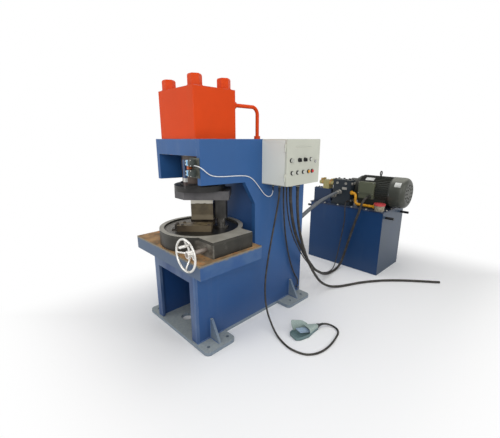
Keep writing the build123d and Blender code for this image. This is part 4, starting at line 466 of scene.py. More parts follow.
# Painted shade: faces that look left are darkened to brown.
shoe.over(shoe.times(shoe.facing("X", -0.3, -0.6), 0.65), "33281f")
shoe.coat("upper_die_shoe")
flange = tool_steel("flange_steel", "161616", "292725", 0.45, 0.3)
DOG, DOG_BARE, DOG_FOOT = ((0.130, -0.300, 1.270), (0.190, -0.220, 1.600)), 1.322, 1.293
dog_x, dog_y, dog_z = flange.depth(*DOG)
on_dog = flange.share(flange.sum("MINIMUM", dog_x, flange.sum("MINIMUM", dog_y, dog_z)), -0.001, 0.001)
dog_paint = flange.mix(flange.along("Z", DOG_BARE + 0.004, DOG_BARE), "33496c", "b4b4b0")
flange.over(on_dog, flange.mix(flange.along("Z", DOG_FOOT + 0.004, DOG_FOOT), dog_paint, "3a2b27"))
flange.coat("ram_flange", "swivel_ring")
tool_steel("rod_steel", "40352f", "5d5048", 0.35, 0.4, DRAWN_UP).coat("piston_rod")
tool_steel("plunger_steel", "8d8d8d", "c5c5c5", 0.25, 0.9).coat("upper_plunger", "lower_plunger", "door_lock")

# The punch is a block of tool steel, screwed up under the shoe. It was ground in a band at its top, painted
# bright there as a highlight, and has a paler zone low down where it cuts.
punch = Finish("punch_steel", metal=0.15, gloss=0.4)
height = punch.ragged("Z", punch.grain(18, 4), 0.02)
HIGHLIGHT_BAND_UNDER, CUT_TOP = 1.090, 1.005
# Painted highlight: the ground band at the punch's top is near white.
ground_highlight_band = punch.share(height, HIGHLIGHT_BAND_UNDER, HIGHLIGHT_BAND_UNDER + 0.006)
body_tone = punch.patches(14, 5, 0.3, 0.7, "483f30", "5f5541")
body_tone = punch.mix(punch.times(punch.share(height, CUT_TOP, CUT_TOP - 0.020), 0.6), body_tone, "7d7360")
punch.set(Base_Color=punch.mix(ground_highlight_band, body_tone, "d9d4c8"), Roughness=punch.between(ground_highlight_band, 0.5, 0.25))
punch.relief(punch.grain(200, 3, (1, 1, 0.1)), 0.00008)
punch.coat("punch")


# The front die is held down by a forged steel clamp at its left end, with a six-sided screw, and by
# socket screws through its corners.
def turned(profile, place, way, sides=32, turn=0.0, ring=False):
    """Profile of distances along an axis and radii, each point taken round a circle square to the axis."""
    along, radius = np.array(profile, float).T
    way = np.array(way, float) / np.linalg.norm(way)
    across = np.cross(way, np.eye(3)[np.argmin(np.abs(way))])
    across /= np.linalg.norm(across)
    angle = turn + np.linspace(0, 2 * pi, sides, endpoint=False)[:, None]
    circle = np.cos(angle) * across + np.sin(angle) * np.cross(way, across)
    points = np.array(place) + along[:, None, None] * way + radius[:, None, None] * circle
    return points.reshape(-1, 3), quads(len(along), sides, round_rows=ring, round_columns=True)


def prism(outline, bottom, top, axes=np.eye(3), origin=(0, 0, 0)):
    """Outline carried between two heights along the third of its axes, each end closed to its middle."""
    outline = np.array(outline, float)
    middle = np.repeat(outline.mean(0)[None], len(outline), 0)
    flat = np.stack([middle, outline, outline, middle])
    rise = np.broadcast_to(np.array([bottom, bottom, top, top], float)[:, None, None], (4, len(outline), 1))
    local = np.concatenate([flat, rise], -1).reshape(-1, 3)
    return np.array(origin) + local @ np.array(axes), quads(4, len(outline), round_columns=True)


def block(low, high, axes=np.eye(3), origin=(0, 0, 0)):
    """Square bar between two opposite corners: a four-cornered outline carried up."""
    (left, front, bottom), (right, rear, top) = low, high
    return prism([(left, front), (right, front), (right, rear), (left, rear)], bottom, top, axes, origin)


def hex_head(place, way, flats, height, turn=0.0):
    """Six-sided head of a width across flats, with its corners taken off towards the top."""
    corner = flats / sqrt(3)
    profile = [(0, 0), (0, corner), (0.86 * height, corner), (height, 0.88 * corner), (height, 0)]
    return turned(profile, place, way, 6, turn)


def cap_screw(place, way, radius, height):
    """Round screw head with a broken edge and a socket sunk into it by half its height."""
    lip, socket = 0.12 * radius, 0.55 * radius
    profile = [(0, 0), (0, radius), (height - lip, radius), (height, radius - lip), (height, socket)]
    return turned(profile + [(height / 2, 0.9 * socket), (height / 2, 0)], place, way, 18)


UP = (0, 0, 1)
DIE_AXES = np.array([(sqrt(0.5), sqrt(0.5), 0), (-sqrt(0.5), sqrt(0.5), 0), UP])
DISC_TOP, CLAMP_STEP, DIE_TOP = 0.8742, 0.8890, 0.9240
clamp_steel = tool_steel("clamp_steel", "2a241d", "54483a", 0.5, 0.2)
clamp = [block((-0.2280, -0.1180, DISC_TOP), (-0.1795, -0.0560, CLAMP_STEP), DIE_AXES)]
clamp.append(block((-0.2050, -0.1080, CLAMP_STEP), (-0.1630, -0.0660, DIE_TOP + 0.0005), DIE_AXES))
piece("die_clamp", clamp, clamp_steel, "rotary_table", bevel=0.004)
screws = [hex_head((-0.1840, -0.0870, DIE_TOP) @ DIE_AXES, UP, 0.024, 0.015)]
for local in ((-0.135, -0.045), (-0.135, -0.128), (0.078, -0.128)):
    screws.append(cap_screw((*local, DIE_TOP - 0.0002) @ DIE_AXES, UP, 0.012, 0.0085))
piece("die_screws", screws, clamp_steel, "rotary_table")


# The cylinder block is a forging painted orange-red together with its tie bolts and oil pipe. Four tie
# bolts with washers and six-sided heads hold it down on the head plate, with nuts below.
def bar(place, way, radius, length, sides=32):
    """Round bar or washer with flat ends: one radius carried along an axis."""
    return turned([(0, 0), (0, radius), (length, radius), (length, 0)], place, way, sides)


orange = plate_paint("block_paint", "d84613", "b05c34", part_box("cylinder_block"), 0.0002, 0.003, dust_top=0.2)
orange.set(Specular_IOR_Level=0.1)
orange.coat("cylinder_block", "oil_pipe")
DOWN = (0, 0, -1)
BOLT_X, BOLT_Y, BLOCK_TOP, NUT_FLATS = 0.174, 0.130, 1.9545, 0.090
washer = [(0, 0), (0, 0.058), (0.005, 0.058), (0.006, 0.057), (0.006, 0)]
ties = []
for x in (-BOLT_X, BOLT_X):
    for y in (-BOLT_Y, BOLT_Y):
        ties.append(turned(washer, (x, y, BLOCK_TOP), UP, 40))
        ties.append(hex_head((x, y, BLOCK_TOP + 0.0055), UP, NUT_FLATS, 0.0750, pi / 6))
        ties.append(bar((x, y, 1.476), UP, 0.024, 0.484))
        ties.append(hex_head((x, y, 1.5195), DOWN, NUT_FLATS, 0.0395, pi / 6))
piece("tie_bolt_set", ties, orange, replaces=("tie_bolts",), bevel=0.0015)

# The oil pipe is a bent steel tube. It is screwed into the block and into the frame with union nuts, and
# painted with the block.
BACK, PIPE_X = (0, 1, 0), 0.200
sleeve = [(0, 0), (0, 0.0205), (0.018, 0.0190), (0.024, 0.0165), (0.025, 0.0155), (0.025, 0)]
unions = []
for place, way in (((PIPE_X, 0.1925, 1.852), BACK), ((PIPE_X, 0.465, 1.6005), UP)):
    unions += [hex_head(place, way, 0.046, 0.016), turned(sleeve, place, way)]
piece("pipe_unions", unions, orange, bevel=0.001)

# The handwheel is cast with a round rim, four spokes that curve out of its hub, and a plated finish. Its
# hand grip is turned to the shape of a palm and revolves on a pin with a round head.
plating = Finish("wheel_plating", metal=0.55)
dull = plating.share(plating.grain(30, 5), 0.45, 0.75)
plating.set(Base_Color=plating.mix(dull, "e2e0db", "aba79e"), Roughness=plating.between(dull, 0.26, 0.5))
plating.relief(plating.grain(250, 3), 0.00006)
FORWARD = (0, -1, 0)
WHEEL_X, WHEEL_Z, HUB_Y, SPOKE_Y, RIM_Y = 0.362, 0.822, -0.346, -0.368, -0.398
RIM_RADIUS, RIM_HALF = 0.1163, 0.0085
GRIP_CIRCLE, GRIP_TURN, PIN_Y, GRIP_Y = 0.114, radians(33), -0.3995, -0.4096
section = np.linspace(0, 2 * pi, 16, endpoint=False)
rim = np.c_[RIM_HALF * np.cos(section), RIM_RADIUS + RIM_HALF * np.sin(section)]
wheel = [turned(rim, (WHEEL_X, RIM_Y, WHEEL_Z), FORWARD, 72, ring=True)]
hub = [(0, 0.0181), (0, 0.027), (0.003, 0.030), (0.036, 0.030), (0.042, 0.0265), (0.044, 0.024)]
hub += [(0.044, 0.0181)]
wheel.append(turned(hub, (WHEEL_X, HUB_Y, WHEEL_Z), FORWARD, 40, ring=True))
out = np.linspace(0.022, 0.114, 16)
ease = np.clip((out - 0.030) / 0.078, 0, 1)
for quarter in range(4):
    way = np.array([np.cos(quarter * pi / 2), 0, np.sin(quarter * pi / 2)])
    spoke = np.array([WHEEL_X, SPOKE_Y, WHEEL_Z]) + out[:, None] * way
    spoke[:, 1] -= 0.030 * ease**2 * (3 - 2 * ease)
    wheel.append(swept(spoke, 0.0088 - 0.0026 * np.sin(pi * np.clip(ease, 0, 0.5)), 16))
grip_x = WHEEL_X + GRIP_CIRCLE * np.sin(GRIP_TURN)
grip_z = WHEEL_Z + GRIP_CIRCLE * np.cos(GRIP_TURN)
pin = [(0, 0), (0, 0.005), (0.078, 0.005), (0.078, 0.008), (0.0818, 0.008), (0.0832, 0.006), (0.0835, 0)]
wheel.append(turned(pin, (grip_x, PIN_Y, grip_z), FORWARD, 24))
piece("cast_handwheel", wheel, plating, "worm", ("handwheel",))
grip = [(0.001, 0.0052), (0, 0.0080), (0.005, 0.0088), (0.019, 0.0104), (0.031, 0.0109), (0.044, 0.0100)]
grip += [(0.054, 0.0095), (0.061, 0.0104), (0.066, 0.0104), (0.0678, 0.0085), (0.0675, 0.0052)]
handle = turned(grip, (grip_x, GRIP_Y, grip_z), FORWARD, 32, ring=True)
piece("palm_grip", [handle], plating, "grip", ("crank_handle",), sharp=50)


# Two limit switches stand on a plate under the head, one above the other. Each has a dark moulded case, a
# light blue head with a screwed front, and a guide for its plunger. Their terminal block is between them.
def moulding(name, colour, rough):
    """Moulded plastic: a faint mottle in its colour and a fine spark-eroded grain."""
    plastic = Finish(name, gloss=0.4)
    plastic.set(Base_Color=plastic.patches(70, 4, 0.3, 0.7, tone(colour, 0.82), colour), Roughness=rough)
    plastic.relief(plastic.grain(900, 2), 0.00005)
    return plastic


RIGHT = (1, 0, 0)
black_plastic = moulding("black_moulding", "1c1c1d", 0.4)
pale_plastic = moulding("pale_moulding", "c3c5bd", 0.4)
bracket = tool_steel("bracket_steel", "3a3d38", "5c5f56", 0.5, 0.2)
SWITCHES = (1.437, 1.365)
plate = [block((0.1852, -0.2125, 1.3305), (0.2995, -0.2055, 1.4715))]
plate += [cap_screw((0.290, -0.2120, z), FORWARD, 0.006, 0.005) for z in (1.345, 1.400, 1.456)]
piece("switch_plate", plate, bracket, replaces=("limit_switches",), bevel=0.0012)
boss = [(0, 0), (0, 0.019), (0.003, 0.019), (0.005, 0.016), (0.005, 0)]
recess = [(0, 0), (0, 0.0078), (0.0016, 0.0070), (0.0016, 0)]
guide = [(0, 0.0056), (0, 0.0085), (0.002, 0.0095), (0.026, 0.0095), (0.026, 0.0056)]
cases, heads, fronts, recesses, guides, case_screws = [], [], [], [], [], []
for z in SWITCHES:
    cases.append(block((0.2215, -0.2530, z - 0.0245), (0.2620, -0.2120, z + 0.0245)))
    cases.append(turned(boss, (0.242, -0.2525, z), FORWARD))
    heads.append(block((0.2010, -0.2538, z - 0.0205), (0.2235, -0.2390, z + 0.0205)))
    fronts.append(block((0.1870, -0.2530, z - 0.0170), (0.2045, -0.2395, z + 0.0170)))
    recesses.append(turned(recess, (0.1955, -0.2527, z), FORWARD, 24))
    guides.append(turned(guide, (0.1970, -0.2330, z), RIGHT, 24, ring=True))
    for x in (0.2275, 0.2565):
        for rise in (-0.0185, 0.0185):
            case_screws.append(cap_screw((x, -0.2528, z + rise), FORWARD, 0.0036, 0.0024))
piece("switch_screws", case_screws, plating)
piece("switch_cases", cases, moulding("switch_case", "3d4442", 0.5), bevel=0.004)
piece("switch_heads", heads, moulding("blue_head", "8fc4ea", 0.35), bevel=0.002)
piece("switch_fronts", fronts, pale_plastic, bevel=0.002)
piece("switch_recesses", recesses, black_plastic)
piece("plunger_guides", guides, bracket)
terminals = [block((0.1900, -0.2420, z), (0.2130, -0.2120, z + 0.0100)) for z in (1.3900, 1.4015)]
orange_plastic = moulding("orange_terminals", "c9683a", 0.4)
piece("switch_terminals", terminals, orange_plastic, bevel=0.0015)

# The control box is folded sheet with a powder coat, screwed on the column's right. Its door is a pressed
# pan with a shallow rib across its top.
box_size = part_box("control_box")
box_coat = plate_paint("box_coat", "c6c8bb", "b5b5aa", box_size, 0.00008, 0.002, dust_top=0.3)
box_coat.coat("box_door")
side_coat = plate_paint("side_coat", "c2c4b8", "b5b5aa", box_size, 0.00008, 0.002, dust_top=0.3)
# Painted light: faces that look to the front are painted lighter.
side_coat.over(side_coat.times(side_coat.facing("Y", -0.90, -0.99), 0.9), "dfe1d9")
side_coat.coat("control_box")
RIB_FRONT, RIB_BACK, RIB_X, RIB_Z = 0.535, 0.760, 0.5640, 1.541
across_door = np.linspace(RIB_FRONT, RIB_BACK, 40)
ends = np.minimum(1, (0.001 + np.minimum(across_door - RIB_FRONT, RIB_BACK - across_door)) / 0.012)
rib = np.c_[np.full(40, RIB_X), across_door, np.full(40, RIB_Z)]
piece("door_rib", [swept(rib, 0.0042 * np.sqrt(ends) + 0.0002, 16)], box_coat, "door")


# Each lead goes into the box through a screwed plastic gland: a nut, a domed cap and a rubber boot that
# tapers onto the lead.
def gland(place, way, lead, out, boot=0.040):
    """Gland for a lead's diameter: a six-sided nut, a round cap, and a boot that narrows along the lead."""
    radius = lead / 2
    wide = radius + 0.0068
    cap = [(0, 0), (0, wide), (out - 0.004, wide), (out, radius + 0.0045), (out, radius + 0.0035)]
    taper = np.linspace(0, 1, 9)
    narrowing = np.c_[out + boot * taper, radius + 0.0035 - 0.0027 * taper - 0.0005 * (np.arange(9) % 2)]
    cap += narrowing.tolist() + [(out + boot, 0)]
    return [hex_head(place, way, lead + 0.019, 0.011), turned(cap, place, way, 28)]


BOX_UNDER, GLAND_OUT = 1.2325, 0.0305
glands = []
for x, y, lead_width in (
    (0.395, 0.545, 0.016),
    (0.330, 0.680, 0.014),
    (0.440, 0.640, 0.028),
    (0.480, 0.690, 0.026),
    (0.330, 0.535, 0.007),
    (0.385, 0.655, 0.012),
):
    glands += gland((x, y, BOX_UNDER), DOWN, lead_width, GLAND_OUT)
piece("box_glands", glands, black_plastic)

# Round bezels hold the controls in the door: three selectors and a lamp above, five push buttons below.
# They are moulded rings that are screwed on from behind.
TOP_ROW, BOTTOM_ROW, DOOR_FACE = 1.436, 1.336, 0.5650
BUTTONS, SELECTORS = (0.490, 0.563, 0.640, 0.712, 0.765), (0.477, 0.580, 0.656)
LAMP = (DOOR_FACE, 0.741, TOP_ROW)
button_ring = [(-0.0002, 0.0121), (-0.0002, 0.0170), (0.005, 0.0170), (0.0085, 0.0148), (0.009, 0.0136)]
button_ring += [(0.009, 0.0121)]
selector_ring = [(-0.0002, 0.0073), (-0.0002, 0.0170), (0.006, 0.0170), (0.0085, 0.0155), (0.009, 0.0142)]
selector_ring += [(0.009, 0.0073)]
bezels = [turned(button_ring, (DOOR_FACE, y, BOTTOM_ROW), RIGHT, 36, ring=True) for y in BUTTONS]
bezels += [turned(selector_ring, (DOOR_FACE, y, TOP_ROW), RIGHT, 36, ring=True) for y in SELECTORS]
piece("bezel_rings", bezels, black_plastic, "door", ("control_bezels",))
lamp_base = [(-0.0002, 0), (-0.0002, 0.017), (0.004, 0.017), (0.006, 0.0155), (0.006, 0)]
piece("lamp_base", [turned(lamp_base, LAMP, RIGHT)], black_plastic, "door")
lens = [(0.0055, 0), (0.0055, 0.0132), (0.009, 0.0130), (0.0115, 0.0112), (0.0132, 0.0075), (0.0138, 0.0035)]
piece("lamp_lens", [turned(lens + [(0.014, 0)], LAMP, RIGHT)], pale_plastic, "door")

# The push buttons are domed plastic caps on collars that stop behind the door's skin. Three are pale, one
# is yellow and one is red.
red_plastic = moulding("red_moulding", "d2232a", 0.3)
yellow_plastic = moulding("yellow_moulding", "eda21c", 0.3)
CAP_BACK = 0.5575
cap = [(0, 0), (0, 0.0139), (0.0039, 0.0139), (0.0039, 0.0115), (0.0212, 0.0115), (0.0228, 0.0106)]
cap += [(0.0234, 0.0085), (0.0232, 0.0060), (0.0231, 0)]
for y, name, finish, slot in zip(
    BUTTONS,
    ("left_button", "middle_button", "right_button", "yellow_button", "red_button"),
    (pale_plastic, pale_plastic, pale_plastic, yellow_plastic, red_plastic),
    ("grey_plastic", "grey_plastic", "grey_plastic", "yellow_plastic", "red_plastic"),
):
    domed = turned(cap, (CAP_BACK, y, BOTTOM_ROW), RIGHT, 36)
    piece(name + "_cap", [domed], finish, name + "_body", (name,))

# The selectors are round plastic knobs with a raised grip and a pointer let into it. Each turns on a
# collar that stops behind the door's skin.
knob = [(-0.0075, 0), (-0.0075, 0.0138), (-0.0036, 0.0138), (-0.0036, 0.0069), (0.0097, 0.0069)]
knob += [(0.0097, 0.0150), (0.0140, 0.0150), (0.0155, 0.0138), (0.0155, 0)]
for y, name, finish, slot, mark in zip(
    SELECTORS,
    ("left", "middle", "right"),
    (pale_plastic, black_plastic, black_plastic),
    ("grey_plastic", "black_plastic", "black_plastic"),
    (black_plastic, pale_plastic, pale_plastic),
):
    place, body = (DOOR_FACE, y, TOP_ROW), name + "_selector_body"
    shapes = [turned(knob, place, RIGHT, 36)]
    shapes.append(block((0.0150, -0.0045, -0.0142), (0.0275, 0.0045, 0.0142), origin=place))
    piece(name + "_selector_knob", shapes, finish, body, (name + "_selector",), bevel=0.0012)
    pointer = block((0.0270, -0.0012, 0.0020), (0.0278, 0.0012, 0.0128), origin=place)
    piece(name + "_pointer", [pointer], mark, body, bevel=0.0003)


# The foot pedal is a pale green casting: a tray with a low rim, a cover over its rear that narrows to a
# tail, and a tall guard on its left side. Its ribbed treadle lies in the tray and tips on pins under the
# cover.
def wall_ring(outline, depth, bottom, top, axes, origin):
    """Wall of a depth inside an outline: its inner line is cut by the sides, moved in along their normals."""
    outline = np.array(outline, float)
    side = np.roll(outline, -1, 0) - outline
    side /= np.linalg.norm(side, axis=1)[:, None]
    inward = np.c_[-side[:, 1], side[:, 0]]
    before = np.roll(inward, 1, 0)
    inner = outline + depth * (inward + before) / (1 + (inward * before).sum(1))[:, None]
    rise = np.broadcast_to(np.array([bottom, top, top, bottom], float)[:, None, None], (4, len(outline), 1))
    local = np.concatenate([np.stack([outline, outline, inner, inner]), rise], -1).reshape(-1, 3)
    faces = quads(4, len(outline), round_rows=True, round_columns=True)
    return np.array(origin) + local @ np.array(axes), faces


PEDAL_AT, PEDAL_YAW = np.array([0.791, 0.460, 0]), radians(75)
pedal_way = np.array([np.cos(PEDAL_YAW), np.sin(PEDAL_YAW), 0])
PEDAL_AXES = np.array([pedal_way, (-pedal_way[1], pedal_way[0], 0), UP])
along = np.array([-0.133, -0.127, -0.100, -0.088, -0.011, 0.067, 0.127, 0.133])
half = np.array([0.037, 0.047, 0.060, 0.062, 0.062, 0.034, 0.0175, 0.012])
outline = np.r_[np.c_[along, -half], np.c_[along[::-1], half[::-1]]]
tray = [prism(outline, 0.0, 0.0105, PEDAL_AXES, PEDAL_AT)]
tray.append(wall_ring(outline, 0.0065, 0.002, 0.028, PEDAL_AXES, PEDAL_AT))
# Painted shade: the tray is a darker copy of the casting's pale green.
tray_casting_shaded = moulding("pedal_tray_casting_shaded", "6d8587", 0.5)
piece("pedal_tray", tray, tray_casting_shaded, replaces=("pedal_housing",), bevel=0.0015)
casting = moulding("pedal_casting", "a6b6b0", 0.5)
x = np.linspace(0.010, 0.131, 40)[:, None]
arch = np.linspace(0, pi, 41)[None, :]
hood_half = np.interp(x, along, half) - 0.0022
hood_top = np.interp(x, [0.010, 0.020, 0.125, 0.131], [0.0585, 0.0600, 0.0440, 0.0400])
spread = np.sign(np.cos(arch)) * np.abs(np.cos(arch)) ** 0.35
lift = 0.012 + (hood_top - 0.012) * np.sin(arch) ** 0.45
hood = np.stack(np.broadcast_arrays(x, hood_half * spread, lift), -1)
tail = np.broadcast_to(np.array([0.1315, 0.0, 0.024]), (1, 41, 3))
hood = np.concatenate([hood, tail]) @ PEDAL_AXES + PEDAL_AT
piece("pedal_cover", [(hood.reshape(-1, 3), quads(41, 41))], casting, wall=0.004)
up_guard = np.linspace(0, 1, 24)[:, None]
back_guard = np.linspace(0, 1, 48)[None, :]
guard_front = -0.079 - 0.030 * np.sin(up_guard * pi / 2)
x = guard_front + back_guard * (0.050 - guard_front)
crest_x, crest = [-0.109, -0.106, -0.098, 0.010, 0.050], [0.118, 0.1255, 0.1260, 0.089, 0.058]
guard_top = np.interp(-0.109 + 0.159 * back_guard, crest_x, crest)
guard_side = np.interp(x, along, half) - 0.0042 + 0.003 * up_guard**2
guard = np.stack(np.broadcast_arrays(x, guard_side, 0.018 + up_guard * (guard_top - 0.018)), -1)
guard = guard @ PEDAL_AXES + PEDAL_AT
piece("pedal_guard", [(guard.reshape(-1, 3), quads(24, 48))], casting, wall=0.006)
tail_end = PEDAL_AT + np.array([0.1305, 0, 0.028]) @ PEDAL_AXES
piece("pedal_gland", gland(tail_end, pedal_way, 0.016, 0.0245), black_plastic)
run = np.linspace(0, 1, 90)
ribs = 0.0034 + 0.0016 * np.clip(np.sin(2 * pi * 11 * run), 0, 1) ** 0.5
pivot, length = np.array([0.025, 0.026]), 0.1062
slope, upright = np.array([-0.9696, 0.2448]), np.array([0.2448, 0.9696])
top_line = pivot + length * run[:, None] * slope + ribs[:, None] * upright
under = pivot + length * run[::-1, None] * slope - 0.0038 * upright
side_axes = np.array([PEDAL_AXES[0], PEDAL_AXES[2], -PEDAL_AXES[1]])
pins = [(0, 0), (0, 0.005), (0.0125, 0.005), (0.0125, 0.0078), (0.0785, 0.0078), (0.0785, 0.005)]
pins += [(0.091, 0.005), (0.091, 0)]
treadle = [prism(np.r_[top_line, under], -0.034, 0.034, side_axes, PEDAL_AT)]
treadle.append(turned(pins, PEDAL_AT + np.array([0.025, -0.0455, 0.026]) @ PEDAL_AXES, PEDAL_AXES[1]))
treadle_plastic = moulding("treadle_moulding", "9fb4c8", 0.45)
piece("ribbed_treadle", treadle, treadle_plastic, "treadle", ("pedal_treadle",), sharp=30)

# The tank is welded from sheet and painted navy, with a slate-grey painted sheen on its right side. Its round
# lifting bars are black, and its lid is bolted down all round.
tank = plate_paint("tank_paint", "143a66", "56606b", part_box("tank"), 0.00012, 0.005)
# Painted sheen: faces that look right are greyed to slate in soft patches.
tank.over(tank.times(tank.facing("X", 0.5, 0.8), tank.between(tank.grain(3, 5), 0.45, 0.95)), "3f4a53")
TANK_X, TANK_HALF = 0.2345, 0.4925
from_middle = tank.sum("ABSOLUTE", tank.sum("SUBTRACT", tank.axis(tank.place, "X"), TANK_X), 0)
tank.over(tank.share(from_middle, TANK_HALF, TANK_HALF + 0.001), "17181a")
tank.coat("tank")
lid_paint = plate_paint("lid_paint", "1d2c48", "5d6672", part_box("tank_lid"), 0.00012, 0.003, dust_top=0.3)
lid_paint.coat("tank_lid")
LID_TOP = 0.7848
zinc = tool_steel("zinc_screws", "77756e", "b4b1a8", 0.4, 0.5)
bolts = []
for x in np.linspace(-0.235, 0.704, 6):
    bolts += [hex_head((x, y, LID_TOP), UP, 0.019, 0.010, 0.3 * x) for y in (2.008, 2.616)]
for y in np.linspace(2.110, 2.514, 4):
    bolts += [hex_head((x, y, LID_TOP), UP, 0.019, 0.010, 2 * y) for x in (-0.249, 0.718)]
piece("lid_bolts", bolts, zinc)

# The motor is a finned casting in dark grey-green paint, bolted down on its feet and onto the pump's bell
# housing. Its pressed fan cover is paler.
motor_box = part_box("motor_body")
motor_paint = plate_paint("motor_paint", "30322d", "5c5d55", motor_box, 0.00025, 0.003, dust_top=0.3)
motor_paint.coat("motor_body", "pump_unit")
fan_paint = plate_paint("fan_paint", "3f413a", "93938a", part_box("fan_cover"), 0.0002, 0.003, dust_top=0.7)
fan_paint.coat("fan_cover")
LEFT = (-1, 0, 0)
MOTOR_Y, MOTOR_Z, FOOT_TOP, BOLT_CIRCLE = 2.290, 0.985, 0.8048, 0.1415
foot_bolts = []
for x in (0.372, 0.642):
    for y in (2.137, 2.443):
        foot_bolts.append(bar((x, y, FOOT_TOP), UP, 0.017, 0.003, 24))
        foot_bolts.append(hex_head((x, y, FOOT_TOP + 0.0028), UP, 0.024, 0.013, x + y))
piece("foot_bolts", foot_bolts, zinc)
flange = [(0, 0.1245), (0, 0.1560), (0.002, 0.1580), (0.012, 0.1580), (0.0135, 0.1560), (0.0135, 0.1245)]
bell = [turned(flange, (0.2868, MOTOR_Y, MOTOR_Z), RIGHT, 72, ring=True)]
for part in np.arange(8) * pi / 4 + pi / 8:
    spot = (0.2870, MOTOR_Y + BOLT_CIRCLE * np.cos(part), MOTOR_Z + BOLT_CIRCLE * np.sin(part))
    bell.append(hex_head(spot, LEFT, 0.022, 0.012, part))
piece("bell_flange", bell, motor_paint)

# The terminal box is a casting on the motor's front. It has a cast lid held by four screws, and a gland
# for the motor's lead.
terminal_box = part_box("terminal_box")
terminal_paint = plate_paint("terminal_paint", "5c604e", "85866f", terminal_box, 0.0002, 0.006, dust_top=0.6)
terminal_paint.coat("terminal_box")
lid = [block((0.3590, 2.0775, 0.9560), (0.5480, 2.0855, 1.1000))]
lid.append(block((0.3720, 2.0735, 0.9690), (0.5350, 2.0780, 1.0870)))
piece("terminal_lid", lid, terminal_paint, bevel=0.0035)
lid_corners = [(x, 2.0780, z) for x in (0.3665, 0.5405) for z in (0.9625, 1.0935)]
lid_screws = [cap_screw(corner, FORWARD, 0.0055, 0.004) for corner in lid_corners]
piece("terminal_screws", lid_screws, zinc)
piece("motor_gland", gland((0.505, 2.0852, 0.926), FORWARD, 0.028, 0.0255), black_plastic)


# Two blank plates of thin aluminium are bent to the motor's round and riveted on: one on its fins, and
# one on the fan cover.
def curved_plate(left, right, start, end, radius):
    """Thin plate bent round the motor: a grid of lengths and angles at a radius, and its back inside it."""
    length = np.linspace(left, right, 6)[:, None]
    angle = np.radians(np.linspace(start, end, 14))[None, :]
    skins = []
    for reach in (radius, radius - 0.0012):
        ring = (length, MOTOR_Y - reach * np.cos(angle), MOTOR_Z + reach * np.sin(angle))
        skins.append(np.stack(np.broadcast_arrays(*ring), -1))
    outer, inner = skins
    loop = np.concatenate([outer, inner[::-1]])
    ends = [np.stack([outer[:, side], inner[:, side]]) for side in (0, -1)]
    shapes = [(loop.reshape(-1, 3), quads(12, 14, round_rows=True))]
    return shapes + [(edge.reshape(-1, 3), quads(2, 6)) for edge in ends]


plate_metal = tool_steel("plate_aluminium", "a9aaa6", "d4d5d1", 0.45, 0.3)
plates, rivets = [], []
rivet = [(-0.004, 0), (-0.004, 0.0022), (0.0004, 0.0022), (0.0012, 0.0014), (0.0014, 0)]
for left, right, start, end, radius in ((0.400, 0.505, 46, 62, 0.1785), (0.760, 0.830, 28, 47, 0.1810)):
    plates += curved_plate(left, right, start, end, radius)
    for angle in (start + 2, end - 2):
        way = np.array([0, -np.cos(radians(angle)), np.sin(radians(angle))])
        for x in (left + 0.005, right - 0.005):
            rivets.append(turned(rivet, np.array([x, MOTOR_Y, MOTOR_Z]) + radius * way, way, 12))
piece("blank_plates", plates + rivets, plate_metal)

# The valve manifold is a bored steel block, painted dark and closed with plugs. Socket screws hold it to
# the lid, and screwed fittings with crimped sleeves hold the two hoses in it and in the column.
manifold_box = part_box("valve_manifold")
manifold = plate_paint("manifold_paint", "242c32", "6a6f70", manifold_box, 0.00012, 0.006, dust_top=0.5)
manifold.over(manifold.times(manifold.along("X", 0.030, 0.010), 0.8), "1f3556")
manifold.coat("valve_manifold")
HIGH_TOP, LOW_TOP, MANIFOLD_FRONT, SCREW_ROWS = 1.1048, 0.9698, 2.0402, (2.058, 2.137)
high_holes = [(x, y) for x in (0.064, 0.136, 0.208, 0.258) for y in SCREW_ROWS]
heads = [cap_screw((x, y, HIGH_TOP), UP, 0.013, 0.013) for x, y in high_holes]
heads += [cap_screw((x, y, LOW_TOP), UP, 0.009, 0.009) for x in (-0.225, -0.190) for y in SCREW_ROWS]
piece("manifold_screws", heads, black_plastic)
plugs = [bar((x, y, HIGH_TOP - 0.0002), UP, 0.019, 0.002, 28) for x, y in high_holes]
plugs += [hex_head((0.2798, y, z), RIGHT, 0.030, 0.011, 0.4) for y in (2.068, 2.127) for z in (0.850, 1.062)]
plugs += [hex_head((x, MANIFOLD_FRONT, 1.062), FORWARD, 0.030, 0.011) for x in (0.100, 0.215)]
plugs.append(block((0.166, 2.0388, 0.984), (0.232, MANIFOLD_FRONT, 1.014)))
piece("manifold_plugs", plugs, zinc, bevel=0.0006)
ridges = np.linspace(0.030, 0.088, 40)
sleeve = np.c_[ridges, 0.0212 + 0.0008 * np.sign(np.sin(2 * pi * (ridges - 0.030) / 0.0145))]
crimped = [(0, 0), (0, 0.0242), (0.030, 0.0242)] + sleeve.tolist() + [(0.089, 0.0185), (0.089, 0)]
fittings = []
for place, way in (
    ((0.150, 1.0225, 0.738), BACK),
    ((0.085, 1.0225, 0.690), BACK),
    ((0.140, 2.0395, 0.950), FORWARD),
    ((0.070, 2.0395, 0.903), FORWARD),
):
    fittings += [hex_head(place, way, 0.054, 0.026), turned(crimped, place, way)]
piece("hose_fittings", fittings, zinc)
valve_gland = gland((0.262, MANIFOLD_FRONT, 0.848), FORWARD, 0.012, 0.0153, 0.030)
piece("valve_lead_gland", valve_gland, black_plastic)

